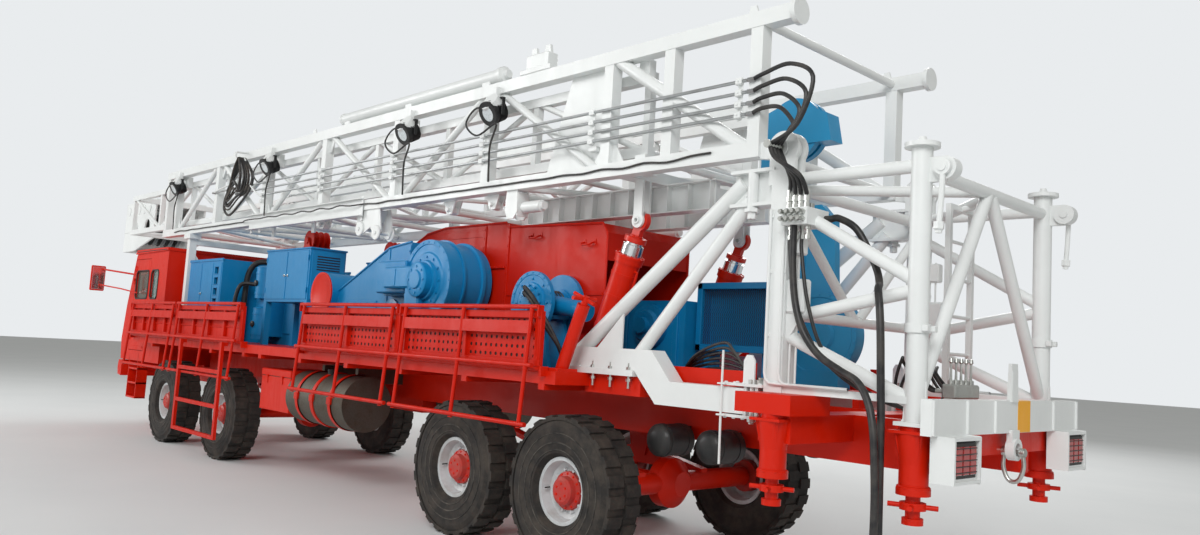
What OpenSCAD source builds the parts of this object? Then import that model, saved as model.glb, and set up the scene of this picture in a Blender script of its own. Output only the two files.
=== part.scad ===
// Carrier-mounted workover rig, parked with its telescopic mast lowered over the cab.
// Length runs along X with the cab at +X, the width along Y, and Z is up from the ground.
// Stations along X are measured from the rearmost wheel axle; stand() moves them all to the rig's middle.

/* [Wheels] */
// Outer diameter of a tyre over its lugs
tyre_d = 1240; // [1150:10:1260]
// Width of a tyre
tyre_w = 375; // [340:5:390]
// Diameter of the rim's seat
rim_d = 508; // [480:2:560]
// Height of a tread lug above the casing
lug_h = 24; // [10:1:30]
// Lugs around one shoulder
lugs = 24; // [16:1:30]
// Centre plane of a wheel from the middle of the rig
wheel_y = 1200; // [1150:5:1260]
// Distance between the two rear axles
rear_pitch = 1500; // [1400:10:1650]
// Second front axle from the rearmost axle
front_axle_2 = 7040; // [6800:10:7200]
// First front axle from the rearmost axle
front_axle_1 = 9160; // [8900:10:9300]

/* [Carrier] */
// Half width of the deck
deck_y = 1440; // [1400:5:1500]
// Height of the deck's top
deck_z = 1590; // [1560:5:1640]
// Thickness of the deck plate
deck_t = 40; // [20:2:60]
// Height of the chassis rails' top
rail_z = 1430; // [1400:5:1460]
// Height of a chassis rail
rail_h = 340; // [280:5:380]
// Width of a chassis rail
rail_w = 100; // [70:5:140]
// Centre of a chassis rail from the middle
rail_y = 430; // [380:5:480]
// Front end of the chassis rails
rail_front = 11700; // [11500:10:11800]

/* [Cab] */
// Rear wall of the cab
cab_rear = 9900; // [9850:10:10000]
// Length of the cab
cab_l = 1950; // [1900:10:2000]
// Half width of the cab
cab_y = 1250; // [1200:5:1300]
// Height of the cab floor's underside
cab_floor = 1150; // [1100:5:1200]
// Height of the cab roof
cab_top = 3020; // [2950:5:3060]
// Thickness of a cab wall or door
cab_wall = 50; // [30:1:60]
// Gap around a door
door_gap = 8; // [5:1:12]

/* [Machinery] */
// Rear face of the engine
engine_rear = 6350; // [6300:10:6400]
// Length of the engine
engine_l = 1550; // [1450:10:1600]
// Top of the engine and its filters
engine_top = 2500; // [2450:10:2550]
// Rear face of the radiator box
radiator_rear = 8150; // [8100:10:8160]
// Length of the radiator box
radiator_l = 1300; // [1200:10:1300]
// Half width of the radiator box
radiator_y = 1050; // [1000:5:1100]
// Top of the radiator box
radiator_top = 2820; // [2780:5:2900]
// Rear face of the cabinets
cabinet_rear = 5400; // [5350:10:5450]
// Length of a cabinet
cabinet_l = 1280; // [1200:10:1300]
// Top of a cabinet
cabinet_top = 2880; // [2840:5:2940]
// Length of the fuel tank
fuel_l = 1380; // [1300:10:1440]
// Diameter of the fuel tank
fuel_d = 620; // [580:5:640]
// Ends of the hood over the drawworks
guard_rear = 400; // [380:5:440]
guard_front = 3700; // [3660:5:3720]
// Top of the hood
guard_top = 3060; // [3020:5:3080]

/* [Mast] */
// Centre of an outer-section chord, a base post and a rear leg from the middle
mast_y = 1010; // [990:2:1040]
// Side of an outer-section chord
chord_w = 120; // [100:2:140]
// Side of an outer-section post
post_w = 110; // [90:2:120]
// Height of the upper chords' centres
mast_top = 4326; // [4280:2:4360]
// Height of the lower chords' centres
mast_low = 3330; // [3310:2:3350]
// Length of one bay of the outer section
bay = 1730; // [1650:5:1760]
// Side of an inner-section chord
inner_w = 90; // [70:2:100]
// Clearance between the inner and outer sections
nest_gap = 65; // [50:1:80]
// Length of one bay of the inner section
inner_bay = 1500; // [1400:10:1520]
// Diameter of the lattice diagonals
brace_d = 76; // [60:1:90]

/* [Mast base] */
// Mast pivot from the rearmost axle, to the rear
pivot_back = 1860; // [1840:5:1900]
// Height of the mast pivot
pivot_z = 3300; // [3290:2:3320]
// Diameter of a rear leg
leg_d = 133; // [120:1:150]
// Diameter of the base's tubes
tube_d = 89; // [70:1:100]
// Running clearance at pins and sleeves
run = 6; // [5:1:10]

/* [Walkways] */
// Width of a folding walkway
walk_w = 480; // [460:5:510]
// Height of a handrail
rail_tall = 975; // [930:5:1040]
// Diameter of the handrail tubes
hand_d = 40; // [30:1:44]

/* [Jacks] */
// Diameter of a jack's sleeve
sleeve_d = 180; // [160:2:200]
// Diameter of a jack's screw
screw_d = 90; // [80:1:100]
// Mid jacks from the rearmost axle, to the rear
mid_back = 2020; // [1950:5:2060]
// Centre of a mid jack from the middle
mid_y = 1270; // [1240:5:1290]

/* [Hidden] */
$fn = 48;

red = "#c8281c";
white = "#e8ecec";
blue = "#2a83b8";
black = "#202224";
steel = "#8a8d90";

// The crown's tip and the tail lamps' backs are the rig's two ends; its middle is the origin.
crown_tip = 14950;
tail_back = 3190;
mid_x = (crown_tip - tail_back) / 2;
wheel_z = tyre_d / 2;
fit = 0.3;

// Shaft and pin seats are this much wider than what turns in them.
seat_gap = 0.1;

// Wheel parts: half width of a rim over its flanges, spindle, and the hub's inner face.
rim_lip = 127;
spindle_d = 120;
hub_in = -70;

// Telescopic raising cylinders: base pin, top pin, and their telescope.
base_pin = [310, 1680];
top_pin = [-160, 2930];
raise_y = 720;
raise_v = top_pin - base_pin;
raise_l = norm(raise_v);
raise_tilt = atan2(raise_v.x, raise_v.y);
barrel_l = 1005;
tube_sizes = [230, 190, 154, 118];
eye_w = 50;
neck_l = 135;

// When the mast stands, its upper chords' ends rest on the rear legs.
leg_back = pivot_back + mast_top - pivot_z;
chord_end = -pivot_back - 70;
leg_top = pivot_z + chord_end + pivot_back - run;

// Moves children from stations counted from the rearmost axle to the rig's own frame.
module stand() {
    translate([-mid_x, 0, 0]) children();
}

// Repeats children on the right-hand side.
module both_sides() {
    children();
    mirror([0, 1, 0]) children();
}

// Box from its lowest corner to its highest.
module block(low, high) {
    translate(low) cube(high - low);
}

// Round bar between two points.
module bar(a, b, d) {
    v = b - a;
    len = norm(v);
    translate(a) rotate([0, acos(v.z / len), atan2(v.y, v.x)]) cylinder(h = len, d = d);
}

// Square bar between two points.
module square_bar(a, b, w) {
    v = b - a;
    len = norm(v);
    translate(a) rotate([0, acos(v.z / len), atan2(v.y, v.x)])
        translate([-w / 2, -w / 2, 0]) cube([w, w, len]);
}

// Cylinder along Y, centred on p.
module disc_y(p, d, w) {
    translate(p) rotate([90, 0, 0]) cylinder(h = w, d = d, center = true);
}

// Profile in the XZ plane, extruded from y0 to y1.
module slab_y(points, y0, y1) {
    translate([0, y1, 0]) rotate([90, 0, 0]) linear_extrude(y1 - y0) polygon(points);
}

// Tyre casing and the two staggered rows of lugs, turned about Z.
module tyre() {
    casing_r = tyre_d / 2 - lug_h;
    half_profile = [
        [rim_d / 2 + fit, rim_lip - 15], [rim_d / 2 + 23, rim_lip - 9],
        [rim_d / 2 + 55, tyre_w / 2 - 12], [rim_d / 2 + 140, tyre_w / 2],
        [casing_r - 70, tyre_w / 2 - 8], [casing_r - 14, tyre_w / 2 - 30], [casing_r, tyre_w / 2 - 75]
    ];
    mirrored = [for (i = [len(half_profile) - 1:-1:0]) [half_profile[i].x, -half_profile[i].y]];
    rotate_extrude($fn = 72) polygon(concat(half_profile, mirrored));
    for (side = [0, 1]) mirror([0, 0, side]) rotate([0, 0, side * 180 / lugs])
        translate([0, 0, 14]) linear_extrude(tyre_w / 2 - 30) lug_ring(casing_r - 20);
}

// Ring cut into lugs by straight notches.
module lug_ring(inner_r) {
    notch_w = 0.42 * PI * tyre_d / lugs;
    difference() {
        circle(r = tyre_d / 2, $fn = 96);
        circle(r = inner_r, $fn = 96);
        for (i = [0:lugs - 1]) rotate((i + 0.5) * 360 / lugs)
            translate([tyre_d / 2 - lug_h + 4, -notch_w / 2]) square([lug_h + 20, notch_w]);
    }
}

// Rim with its deep dish and the planetary hub, turned about Z with the outer side at +Z.
module rim_and_hub() {
    seat_r = rim_d / 2;
    lip = rim_lip;
    rotate_extrude($fn = 72) polygon([
        [seat_r, lip - 14], [seat_r + 22, lip - 8], [seat_r + 22, lip], [seat_r - 8, lip],
        [seat_r - 26, 40], [seat_r - 70, 18], [150, 34], [150, 14], [seat_r - 70, -4],
        [seat_r - 30, 10], [seat_r - 14, -lip], [seat_r + 22, -lip], [seat_r + 22, -lip + 8],
        [seat_r, -lip + 14]
    ]);
    rotate_extrude($fn = 48) polygon([
        [(spindle_d + seat_gap) / 2, hub_in], [155, hub_in], [155, 60], [120, 72], [112, 118], [88, 132],
        [0, 132], [0, 60], [(spindle_d + seat_gap) / 2, 60]
    ]);
    for (i = [0:9]) rotate(i * 36) translate([172, 0, 20]) cylinder(h = 34, d = 26, $fn = 6);
}

// Wheel at an axle station; side is 1 on the left and -1 on the right.
module wheel(axle_x, side) {
    stand() translate([axle_x, side * wheel_y, wheel_z]) rotate([-90 * side, 0, 0]) {
        color("#26221f") tyre();
        color("#c9ccd0") rim_and_hub();
    }
}

// Steering knuckle: two arms over the axle's boss, a wall and the wheel's spindle.
kingpin_y = 955;
boss_h = 190;
kingpin_d = 50;
module knuckle(axle_x, side) {
    arm_z = boss_h / 2 + run;
    arm_t = 32;
    wall_y = 75;
    color(red) stand() translate([axle_x, 0, wheel_z]) for_side(side) {
        for (top = [0, 1]) mirror([0, 0, top]) translate([0, kingpin_y, arm_z]) {
            cylinder(h = arm_t, d = 120);
            translate([-60, 0, 0]) cube([120, wall_y + 10, arm_t]);
        }
        block([-70, kingpin_y + wall_y, -arm_z - arm_t], [70, kingpin_y + wall_y + 30, arm_z + arm_t]);
        translate([0, kingpin_y + wall_y, 0]) rotate([-90, 0, 0])
            cylinder(h = wheel_y + 55 - kingpin_y - wall_y, d = spindle_d);
        translate([0, kingpin_y, -arm_z - arm_t / 2]) cylinder(h = 2 * arm_z + arm_t, d = kingpin_d);
        translate([0, kingpin_y, -arm_z - arm_t]) block([-200, -25, 0], [0, 25, 24]);
    }
}

// Mirrors children to the right-hand side when side is -1.
module for_side(side) {
    if (side < 0) mirror([0, 1, 0]) children();
    else children();
}

// Front axle with its drive housing, boss ends and leaf springs.
module front_axle(axle_x) {
    translate([axle_x, 0, wheel_z]) {
        both_sides() {
            translate([0, 0, 0]) rotate([-90, 0, 0]) cylinder(h = kingpin_y - 30, d = 130);
            translate([0, kingpin_y, 0]) difference() {
                translate([0, 0, -boss_h / 2]) cylinder(h = boss_h, d = 110);
                translate([0, 0, -boss_h]) cylinder(h = 2 * boss_h, d = kingpin_d + seat_gap);
            }
            spring(axle_x, 650, 90);
        }
        rotate([90, 0, 90]) rotate_extrude() polygon([
            [0, -150], [110, -150], [200, -60], [200, 60], [110, 150], [0, 150]
        ]);
    }
}

// Leaf pack bent up at its ends, with the hangers that carry it under the rail.
module spring(axle_x, half_l, seat) {
    rise = 110;
    pack = 90;
    function under_frame(x) = (x > horn_rear ? horn_top - horn_h : rail_z - rail_h) - wheel_z;
    translate([0, rail_y, 0]) {
        slab_y([
            [-half_l, seat + rise], [-half_l / 2, seat + rise / 4], [0, seat - 5], [half_l / 2, seat + rise / 4],
            [half_l, seat + rise], [half_l, seat + rise + 26], [0, seat + pack], [-half_l, seat + rise + 26]
        ], -40, 40);
        block([-70, -45, 0], [70, 45, seat + 10]);
        for (x = [-half_l, half_l])
            block([x - 35, -30, seat + rise - 15], [x + 35, 30, under_frame(axle_x + x)]);
    }
}

module front_axles() {
    color(red) stand() for (x = [front_axle_2, front_axle_1]) front_axle(x);
}

// Rear tandem: two driven housings on leaf packs that rock on a trunnion under the rails.
module rear_axles() {
    trunnion_x = rear_pitch / 2;
    pad_z = wheel_z + 90;
    color(red) stand() {
        for (x = [0, rear_pitch]) translate([x, 0, wheel_z]) {
            both_sides() {
                rotate([-90, 0, 0]) cylinder(h = wheel_y - 110, d = 190);
                rotate([-90, 0, 0]) cylinder(h = wheel_y + 55, d = spindle_d);
            }
            rotate([90, 0, 90]) rotate_extrude() polygon([
                [0, -170], [110, -170], [225, -60], [225, 60], [110, 170], [0, 170]
            ]);
        }
        both_sides() translate([trunnion_x, rail_y, 0]) {
            half = rear_pitch / 2 + 60;
            slab_y([
                [-half, pad_z - 20], [half, pad_z - 20], [half, pad_z + 20], [0, pad_z + 170],
                [-half, pad_z + 20]
            ], -45, 45);
            slab_y([
                [-90, pad_z + 60], [90, pad_z + 60], [160, rail_z - rail_h], [-160, rail_z - rail_h]
            ], -60, 60);
        }
        drive_shafts();
    }
}

// Drive shaft between the two rear housings and on towards the engine.
module drive_shafts() {
    translate([rear_pitch, 0, wheel_z + 40]) rotate([0, 76, 0]) cylinder(h = 1200, d = 90);
    bar([0, 0, wheel_z + 30], [rear_pitch, 0, wheel_z + 30], 90);
}

// Rails, cross members, outrigger beams with the jacks' sleeves, and the front bumper.
horn_top = 1120;
horn_h = 240;
horn_rear = 9500;
module chassis() {
    inner = rail_y - rail_w / 2;
    cross = [-2400, -1300, -350, 750, 2300, 3600, 5000, 6300, 8100, 9500];
    color(red) stand() {
        both_sides() {
            block([-leg_back - 120, inner, rail_z - rail_h], [horn_rear + 250, inner + rail_w, rail_z]);
            block([horn_rear, inner, horn_top - horn_h], [rail_front, inner + rail_w, horn_top]);
        }
        for (x = [cab_rear + 150, cab_front - 550]) both_sides()
            block([x - 60, rail_y - 50, horn_top - 1], [x + 60, rail_y + 50, cab_floor - fit]);
        for (x = cross) block([x - 60, -rail_y, rail_z - rail_h + 40], [x + 60, rail_y, rail_z - 40]);
        outrigger(-mid_back, mid_y, box_top - rail_z);
        outrigger(-leg_back, mast_y, 0);
        slab_y([
            [rail_front, 860], [rail_front + 170, 880], [rail_front + 200, 1000], [rail_front + 170, 1130],
            [rail_front, 1135]
        ], -cab_y, cab_y);
    }
}

// Cross beam from jack to jack with the two sleeves that hold the jacks' screws.
sleeve_low = 1010;
bush_l = 40;
screw_top = rail_z + 130;
box_top = 1565 - fit;
module outrigger(x, y, box_h) {
    sleeve_h = rail_z - sleeve_low;
    cap_w = sleeve_d + 60;
    difference() {
        union() {
            block([x - 130, -y, rail_z - 190], [x + 130, y, rail_z]);
            if (box_h > 0) both_sides()
                block([x - 180, y - 390, rail_z - 1], [x + 270, y + sleeve_d / 2, rail_z + box_h]);
            both_sides() translate([x, y, sleeve_low]) {
                cylinder(h = sleeve_h, d = sleeve_d);
                cylinder(h = 40, d = sleeve_d + 30);
                translate([0, 0, sleeve_h - 230]) cylinder(h = 185, d1 = sleeve_d, d2 = sleeve_d + 50);
                translate([-cap_w / 2, -cap_w / 2, sleeve_h - 46]) cube([cap_w, cap_w, 18]);
            }
        }
        both_sides() translate([x, y, sleeve_low]) {
            translate([0, 0, bush_l])
                cylinder(h = screw_top + 20 - sleeve_low - bush_l, d = screw_d + 2 * run);
            translate([0, 0, -bush_l]) cylinder(h = 3 * bush_l, d = screw_d + 2 * fit);
        }
    }
}

// Jack's screw with its foot ball and lock ring bars.
jack_foot = 830;
module jack(x, y) {
    color(red) stand() translate([x, y, jack_foot]) {
        cylinder(h = 40, d = screw_d + 40);
        cylinder(h = screw_top - jack_foot, d = screw_d);
        translate([0, 0, 90]) cylinder(h = 45, d = screw_d + 70);
        for (a = [20, 110]) rotate(a) translate([-150, 0, 112]) rotate([0, 90, 0]) cylinder(h = 300, d = 32);
    }
}

// Lug on the deck's edge with the pin that enters a walkway's hinge tube.
hinge_pin = 26;
module hinge_lug(x, reach) {
    block([x, deck_y - 20, hinge_z - 60], [x + 30, hinge_y + 22, hinge_z + 22]);
    bar([x + 15, hinge_y, hinge_z], [x + 15 + reach * 2.4, hinge_y, hinge_z], hinge_pin);
}

// Fork on the deck that holds a raising cylinder's foot.
module pedestal() {
    foot_d = 60;
    for (y = [raise_y - eye_w / 2 - run - 30, raise_y + eye_w / 2 + run]) difference() {
        slab_y([
            [base_pin.x - 170, deck_z - 5], [base_pin.x + 170, deck_z - 5], [base_pin.x + 60, base_pin.y + 60],
            [base_pin.x - 60, base_pin.y + 60]
        ], y, y + 30);
        disc_y([base_pin.x, y + 15, base_pin.y], foot_d + seat_gap, 50);
    }
}

// Shelf behind the deck, on a foot on the chassis rail, with the curb that keeps hoses on it.
shelf_z = 1550;
shelf_t = 20;
shelf_rear = -1700;
curb_y = 905;
module rear_shelf() {
    block([shelf_rear, rail_y + 110, shelf_z], [deck_rear + 10, curb_y, shelf_z + shelf_t]);
    block([shelf_rear + 40, rail_y, rail_z], [shelf_rear + 100, rail_y + 170, shelf_z + 1]);
    block([shelf_rear + 200, curb_y - 20, shelf_z], [deck_rear - 100, curb_y, shelf_z + 145]);
    block([shelf_rear + 120, curb_y - 20, shelf_z], [shelf_rear + 201, curb_y, shelf_z + 210]);
}

// Deck plate on cross beams with its edge beams, narrower where the mast base stands.
deck_rear = -560;
deck_front = 9820;
wide_from = 30;
narrow_y = mast_y + 35;
edge_w = 60;
module deck() {
    under = deck_z - deck_t + 1;
    beams = [deck_rear + 40, 200, 1300, 2400, 3500, 4600, 5700, 6200, 7300, 8500, 9700];
    color(red) stand() {
        block([deck_rear, -narrow_y, deck_z - deck_t], [wide_from + 1, narrow_y, deck_z]);
        block([wide_from, -deck_y, deck_z - deck_t], [deck_front, deck_y, deck_z]);
        for (x = beams) {
            y = x < wide_from ? narrow_y : deck_y;
            block([x - 40, -y, rail_z], [x + 40, y, under]);
        }
        both_sides() {
            pedestal();
            for (span = [front_walk, rear_walk]) {
                hinge_lug(span[0] - 34, 30);
                hinge_lug(span[3] + 4, -30);
            }
            block([wide_from, deck_y - edge_w, deck_z - 110], [front_walk[3] + 40, deck_y, deck_z]);
            block([wide_from, narrow_y - edge_w, deck_z - 110], [wide_from + edge_w, deck_y, under]);
            block([deck_rear, narrow_y - edge_w, rail_z], [wide_from + edge_w, narrow_y, under]);
            rear_shelf();
        }
    }
}

// Fuel tank with straps and the battery box before it, hung beside the rails.
fuel_at = [3600, 1080, 1020];
module fuel_tank() {
    strap_w = 60;
    inner = rail_y + rail_w / 2;
    color(steel) stand() both_sides() {
        translate(fuel_at) rotate([0, 90, 0]) cylinder(h = fuel_l, d = fuel_d);
        for (x = [fuel_at.x + 250, fuel_at.x + fuel_l - 330]) {
            translate([x, fuel_at.y, fuel_at.z]) rotate([0, 90, 0]) cylinder(h = strap_w, d = fuel_d + 20);
            block([x, inner, fuel_at.z + 220], [x + strap_w, fuel_at.y, rail_z - 20]);
        }
    }
    color(red) stand() both_sides() {
        block([fuel_at.x + fuel_l + 80, 620, 800], [fuel_at.x + fuel_l + 880, 1300, 1300]);
        block([fuel_at.x + fuel_l + 220, inner, 1200], [fuel_at.x + fuel_l + 720, 700, 1290]);
    }
}

module air_tanks() {
    color(black) stand() both_sides() for (i = [0:1]) {
        translate([-620 - i * 520, 860, 1090]) rotate([90, 0, 0]) cylinder(h = 300, d = 260);
        block([-640 - i * 520, rail_y + rail_w / 2, 1120], [-600 - i * 520, 700, 1200]);
    }
}

// White box beam across the rear, with the tail lamps' frames and the tow shackle.
beam_z = 1390;
tow_z = 1280;
module rear_beam() {
    x = -leg_back - 130;
    frame_low = beam_z - 280;
    color(white) stand() {
        difference() {
            block([x - 70, -1200, beam_z], [x, 1200, beam_z + 220]);
            block([x - 60, -1190, beam_z + 15], [x - 10, 1190, beam_z + 205]);
        }
        both_sides() {
            difference() {
                block([-tail_back, 740, frame_low], [x - 20, 1110, beam_z + 1]);
                block([-tail_back - 10, 760, frame_low + 20], [x, 1090, beam_z - 20]);
            }
            block([-tail_back + 20, 770, frame_low + 19], [-tail_back + 90, 1080, frame_low + 160]);
        }
        difference() {
            union() {
                block([x - 90, -60, beam_z - 110], [x - 50, 60, beam_z + 20]);
                translate([x - 75, 0, tow_z]) rotate([0, 90, 0]) cylinder(h = 60, d = 150, center = true);
            }
            translate([x - 75, 0, tow_z]) rotate([0, 90, 0]) cylinder(h = 80, d = 90, center = true);
        }
        block([x - 80, -45, beam_z + 219], [x - 50, 45, beam_z + 420]);
    }
}

// Side view of the cab with its raked windscreen.
screen_foot = 2100;
screen_x = cab_rear + cab_l - 120;
roof_x = cab_rear + cab_l - 400;
function cab_outline(in) = [
    [cab_rear + in, cab_floor + in], [cab_rear + cab_l - 60 - in, cab_floor + in],
    [cab_rear + cab_l - in, 1500], [screen_x - in, screen_foot],
    [roof_x - in, cab_top - 80 - in], [roof_x - 90 - in, cab_top - in], [cab_rear + in, cab_top - in]
];

// Door opening and window openings, from their low corner to their high one, as [x, z] pairs.
cab_front = cab_rear + cab_l;
sill_z = 2200;
head_z = 2680;
door_low = [cab_rear + 790, 1320];
door_high = [cab_front - 410, 2880];
door_pane = [[door_low.x + 55, sill_z], [door_high.x - 80, head_z]];
side_pane = [[cab_rear + 380, sill_z], [door_low.x - 70, head_z]];
module side_hole(low, high, y0, y1) {
    block([low.x, y0, low.y], [high.x, y1, high.y]);
}

module cab_shell() {
    color(red) stand() difference() {
        union() {
            slab_y(cab_outline(0), -cab_y, cab_y);
            slab_y([
                [cab_rear - 20, cab_top - 30], [roof_x + 10, cab_top - 50], [roof_x - 70, cab_top + 20],
                [cab_rear - 20, cab_top + 20]
            ], -cab_y - 25, cab_y + 25);
            both_sides() {
                bar([door_high.x + 10, cab_y - 10, 2620], [cab_front + 300, cab_y + 390, 2700], 30);
                block([cab_front + 270, cab_y + 310, 2330], [cab_front + 310, cab_y + 510, 2730]);
                for (z = hinge_heights) cab_knuckle(z);
            }
        }
        slab_y(cab_outline(cab_wall), -cab_y + cab_wall, cab_y - cab_wall);
        both_sides() {
            side_hole(door_low, door_high, cab_y - 2 * cab_wall, cab_y + 10);
            side_hole(side_pane[0], side_pane[1], cab_y - 2 * cab_wall, cab_y + 10);
            block([roof_x - 550, 70, screen_foot + 60], [cab_front + 350, 1130, cab_top - 170]);
        }
        block([cab_rear - 50, -500, sill_z], [cab_rear + 2 * cab_wall, 500, head_z + 20]);
    }
}

// Door hinges outside the wall: the cab's knuckle carries the pin, the door's turns on it.
knuckle_d = 28;
knuckle_h = 50;
hinge_heights = [1500, 2450];
door_axis = [door_high.x - 4, cab_y + knuckle_d / 2 + 1];
door_pin = 14;
module cab_knuckle(z) {
    low = z + knuckle_h + 1;
    translate([door_axis.x, door_axis.y, low]) cylinder(h = knuckle_h, d = knuckle_d);
    translate([door_axis.x, door_axis.y, z + 5]) cylinder(h = knuckle_h, d = door_pin);
    block([door_high.x + 1, cab_y - 1, low], [door_high.x + 50, door_axis.y, low + knuckle_h]);
}

module door_knuckle(z) {
    difference() {
        union() {
            translate([door_axis.x, door_axis.y, z]) cylinder(h = knuckle_h, d = knuckle_d);
            block([door_axis.x - 50, cab_y - 1, z], [door_axis.x, door_axis.y, z + knuckle_h]);
        }
        translate([door_axis.x, door_axis.y, z - 1]) cylinder(h = knuckle_h + 2, d = door_pin + seat_gap);
    }
}

// Fixed panes: windscreen halves, side quarters and the rear window.
module cab_glass() {
    pane = 6;
    lean = (screen_x - roof_x) / (cab_top - 80 - screen_foot);
    low = screen_foot + 60 + fit;
    high = cab_top - 170 - fit;
    function front_x(z) = screen_x - 25 - (z - screen_foot) * lean;
    color("#9fb8c4", 0.4) stand() {
        both_sides() {
            slab_y([
                [front_x(low), low], [front_x(low) + pane, low], [front_x(high) + pane, high],
                [front_x(high), high]
            ], 70 + fit, 1130 - fit);
            side_hole(side_pane[0] + [fit, fit], side_pane[1] - [fit, fit], cab_y - 30, cab_y - 30 + pane);
        }
        block([cab_rear + 22, -500 + fit, sill_z + fit], [cab_rear + 22 + pane, 500 - fit, head_z + 20 - fit]);
    }
}

// Two seats, the dash and the steering wheel.
module cab_interior() {
    floor_z = cab_floor + cab_wall + fit;
    wheel_at = [cab_front - 670, 620, 2130];
    inner = cab_y - cab_wall - fit;
    color(black) stand() {
        for (y = [-620, 620]) translate([cab_rear + 800, y, floor_z]) {
            block([-230, -240, 0], [230, 240, 420]);
            slab_y([[-330, 420], [-210, 420], [-250, 1050], [-370, 1050]], -240, 240);
            block([-330, -240, 380], [250, 240, 480]);
        }
        block([cab_front - 550, -inner, 1700], [cab_front - 210, inner, 2020]);
        block([cab_front - 370, -300, floor_z], [cab_front - 210, 300, 1720]);
        bar([cab_front - 450, wheel_at.y, 1950], wheel_at, 50);
        translate(wheel_at) rotate([0, -50, 0]) {
            rotate_extrude() translate([200, 0]) circle(d = 32, $fn = 16);
            for (a = [0, 120, 240]) rotate(a) translate([0, -15, -8]) cube([200, 30, 16]);
        }
    }
}

// Cab door with its pane, hung at its front edge.
module door(side) {
    low = door_low + [door_gap, door_gap];
    high = door_high - [door_gap, door_gap];
    color(red) stand() for_side(side) {
        difference() {
            side_hole(low, high, cab_y - cab_wall, cab_y);
            side_hole(door_pane[0], door_pane[1], cab_y - 100, cab_y + 10);
        }
        side_hole(door_pane[0] - [5, 5], door_pane[1] + [5, 5], cab_y - 30, cab_y - 24);
        block([low.x + 40, cab_y - 1, 2050], [low.x + 200, cab_y + 30, 2090]);
        for (z = hinge_heights) door_knuckle(z);
    }
}

// Diesel engine, a plain block with its canisters at its side.
module engine() {
    color(blue) stand() {
        block([engine_rear, -430, deck_z], [engine_rear + engine_l, 430, engine_top]);
        both_sides() for (drop = [600, 0])
            translate([engine_rear + 1200, 620, engine_top - drop - 250]) cylinder(h = 450, d = 300);
        both_sides() block([engine_rear + 950, 400, engine_top - 800], [engine_rear + 1450, 640, engine_top]);
        bar([engine_rear + 650, 0, engine_top - 10], [engine_rear + 650, 0, engine_top + 450], 180);
    }
}

// Radiator box with the square vents in its side.
module radiator() {
    color(blue) stand() difference() {
        block([radiator_rear, -radiator_y, deck_z], [radiator_rear + radiator_l, radiator_y, radiator_top]);
        for (i = [0:3]) both_sides()
            translate([radiator_rear + 150, radiator_y - 50, radiator_top - 700 + i * 160])
                cube([140, 60, 100]);
    }
}

// Cabinet on legs.
module cabinet() {
    low = cabinet_top - 700;
    near = 520;
    far = 1020;
    leg = 80;
    color(blue) stand() both_sides() {
        block([cabinet_rear, near, low], [cabinet_rear + cabinet_l, far, cabinet_top]);
        for (x = [cabinet_rear, cabinet_rear + cabinet_l - leg], y = [near, far - leg])
            block([x, y, deck_z], [x + leg, y + leg, low + 10]);
    }
}

// Chain case with its sloped cover and the round brake housing.
module chain_case() {
    housing_y = 1070;
    housing_w = 190;
    color(blue) stand() {
        slab_y([[3050, deck_z], [4750, deck_z], [4650, 2300], [3500, 2800], [3050, 2850]], 600, 1000);
        disc_y([drum_x, housing_y, drum_z], 860, housing_w);
        block([drum_x + 300, housing_y - 90, 2250], [3400, housing_y + 40, 2650]);
        bar([drum_x, guard_y + 20, drum_z], [drum_x, housing_y, drum_z], 260);
    }
    color(red) stand() disc_y([4860, 850, 2280], 520, 500);
}

// Drawworks frame with its bearing plates, and the winch at its rear.
drum_x = 2450;
drum_z = 2400;
drum_shaft_d = 120;
drum_half = 430;
guard_y = 570;
winch_x = 930;
winch_z = 2190;
module drawworks_frame() {
    color(blue) stand() {
        both_sides() difference() {
            block([drum_x - 420, drum_half + 40, deck_z], [drum_x + 420, drum_half + 80, drum_z + 200]);
            disc_y([drum_x, drum_half + 60, drum_z], drum_shaft_d + seat_gap, 100);
        }
        for (x = [drum_x - 420, drum_x + 370])
            block([x, -drum_half - 60, deck_z], [x + 50, drum_half + 60, deck_z + 200]);
        winch();
    }
}

// Winch on its pedestal, with the pipe that leads to the rear.
module winch() {
    disc_y([winch_x, 800, winch_z], 220, 400);
    for (y = [620, 985]) disc_y([winch_x, y, winch_z], 520, 30);
    slab_y([
        [winch_x - 220, deck_z], [winch_x + 220, deck_z], [winch_x + 90, winch_z], [winch_x - 90, winch_z]
    ], 660, 700);
    slab_y([
        [winch_x - 220, deck_z], [winch_x + 220, deck_z], [winch_x + 90, winch_z], [winch_x - 90, winch_z]
    ], 900, 940);
}

// Main drum with its flanges.
module drum() {
    color(blue) stand() {
        disc_y([drum_x, 0, drum_z], drum_shaft_d, 2 * drum_half + 200);
        disc_y([drum_x, 0, drum_z], 460, 2 * drum_half);
        for (y = [-drum_half, drum_half]) disc_y([drum_x, y, drum_z], 980, 40);
    }
}

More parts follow.
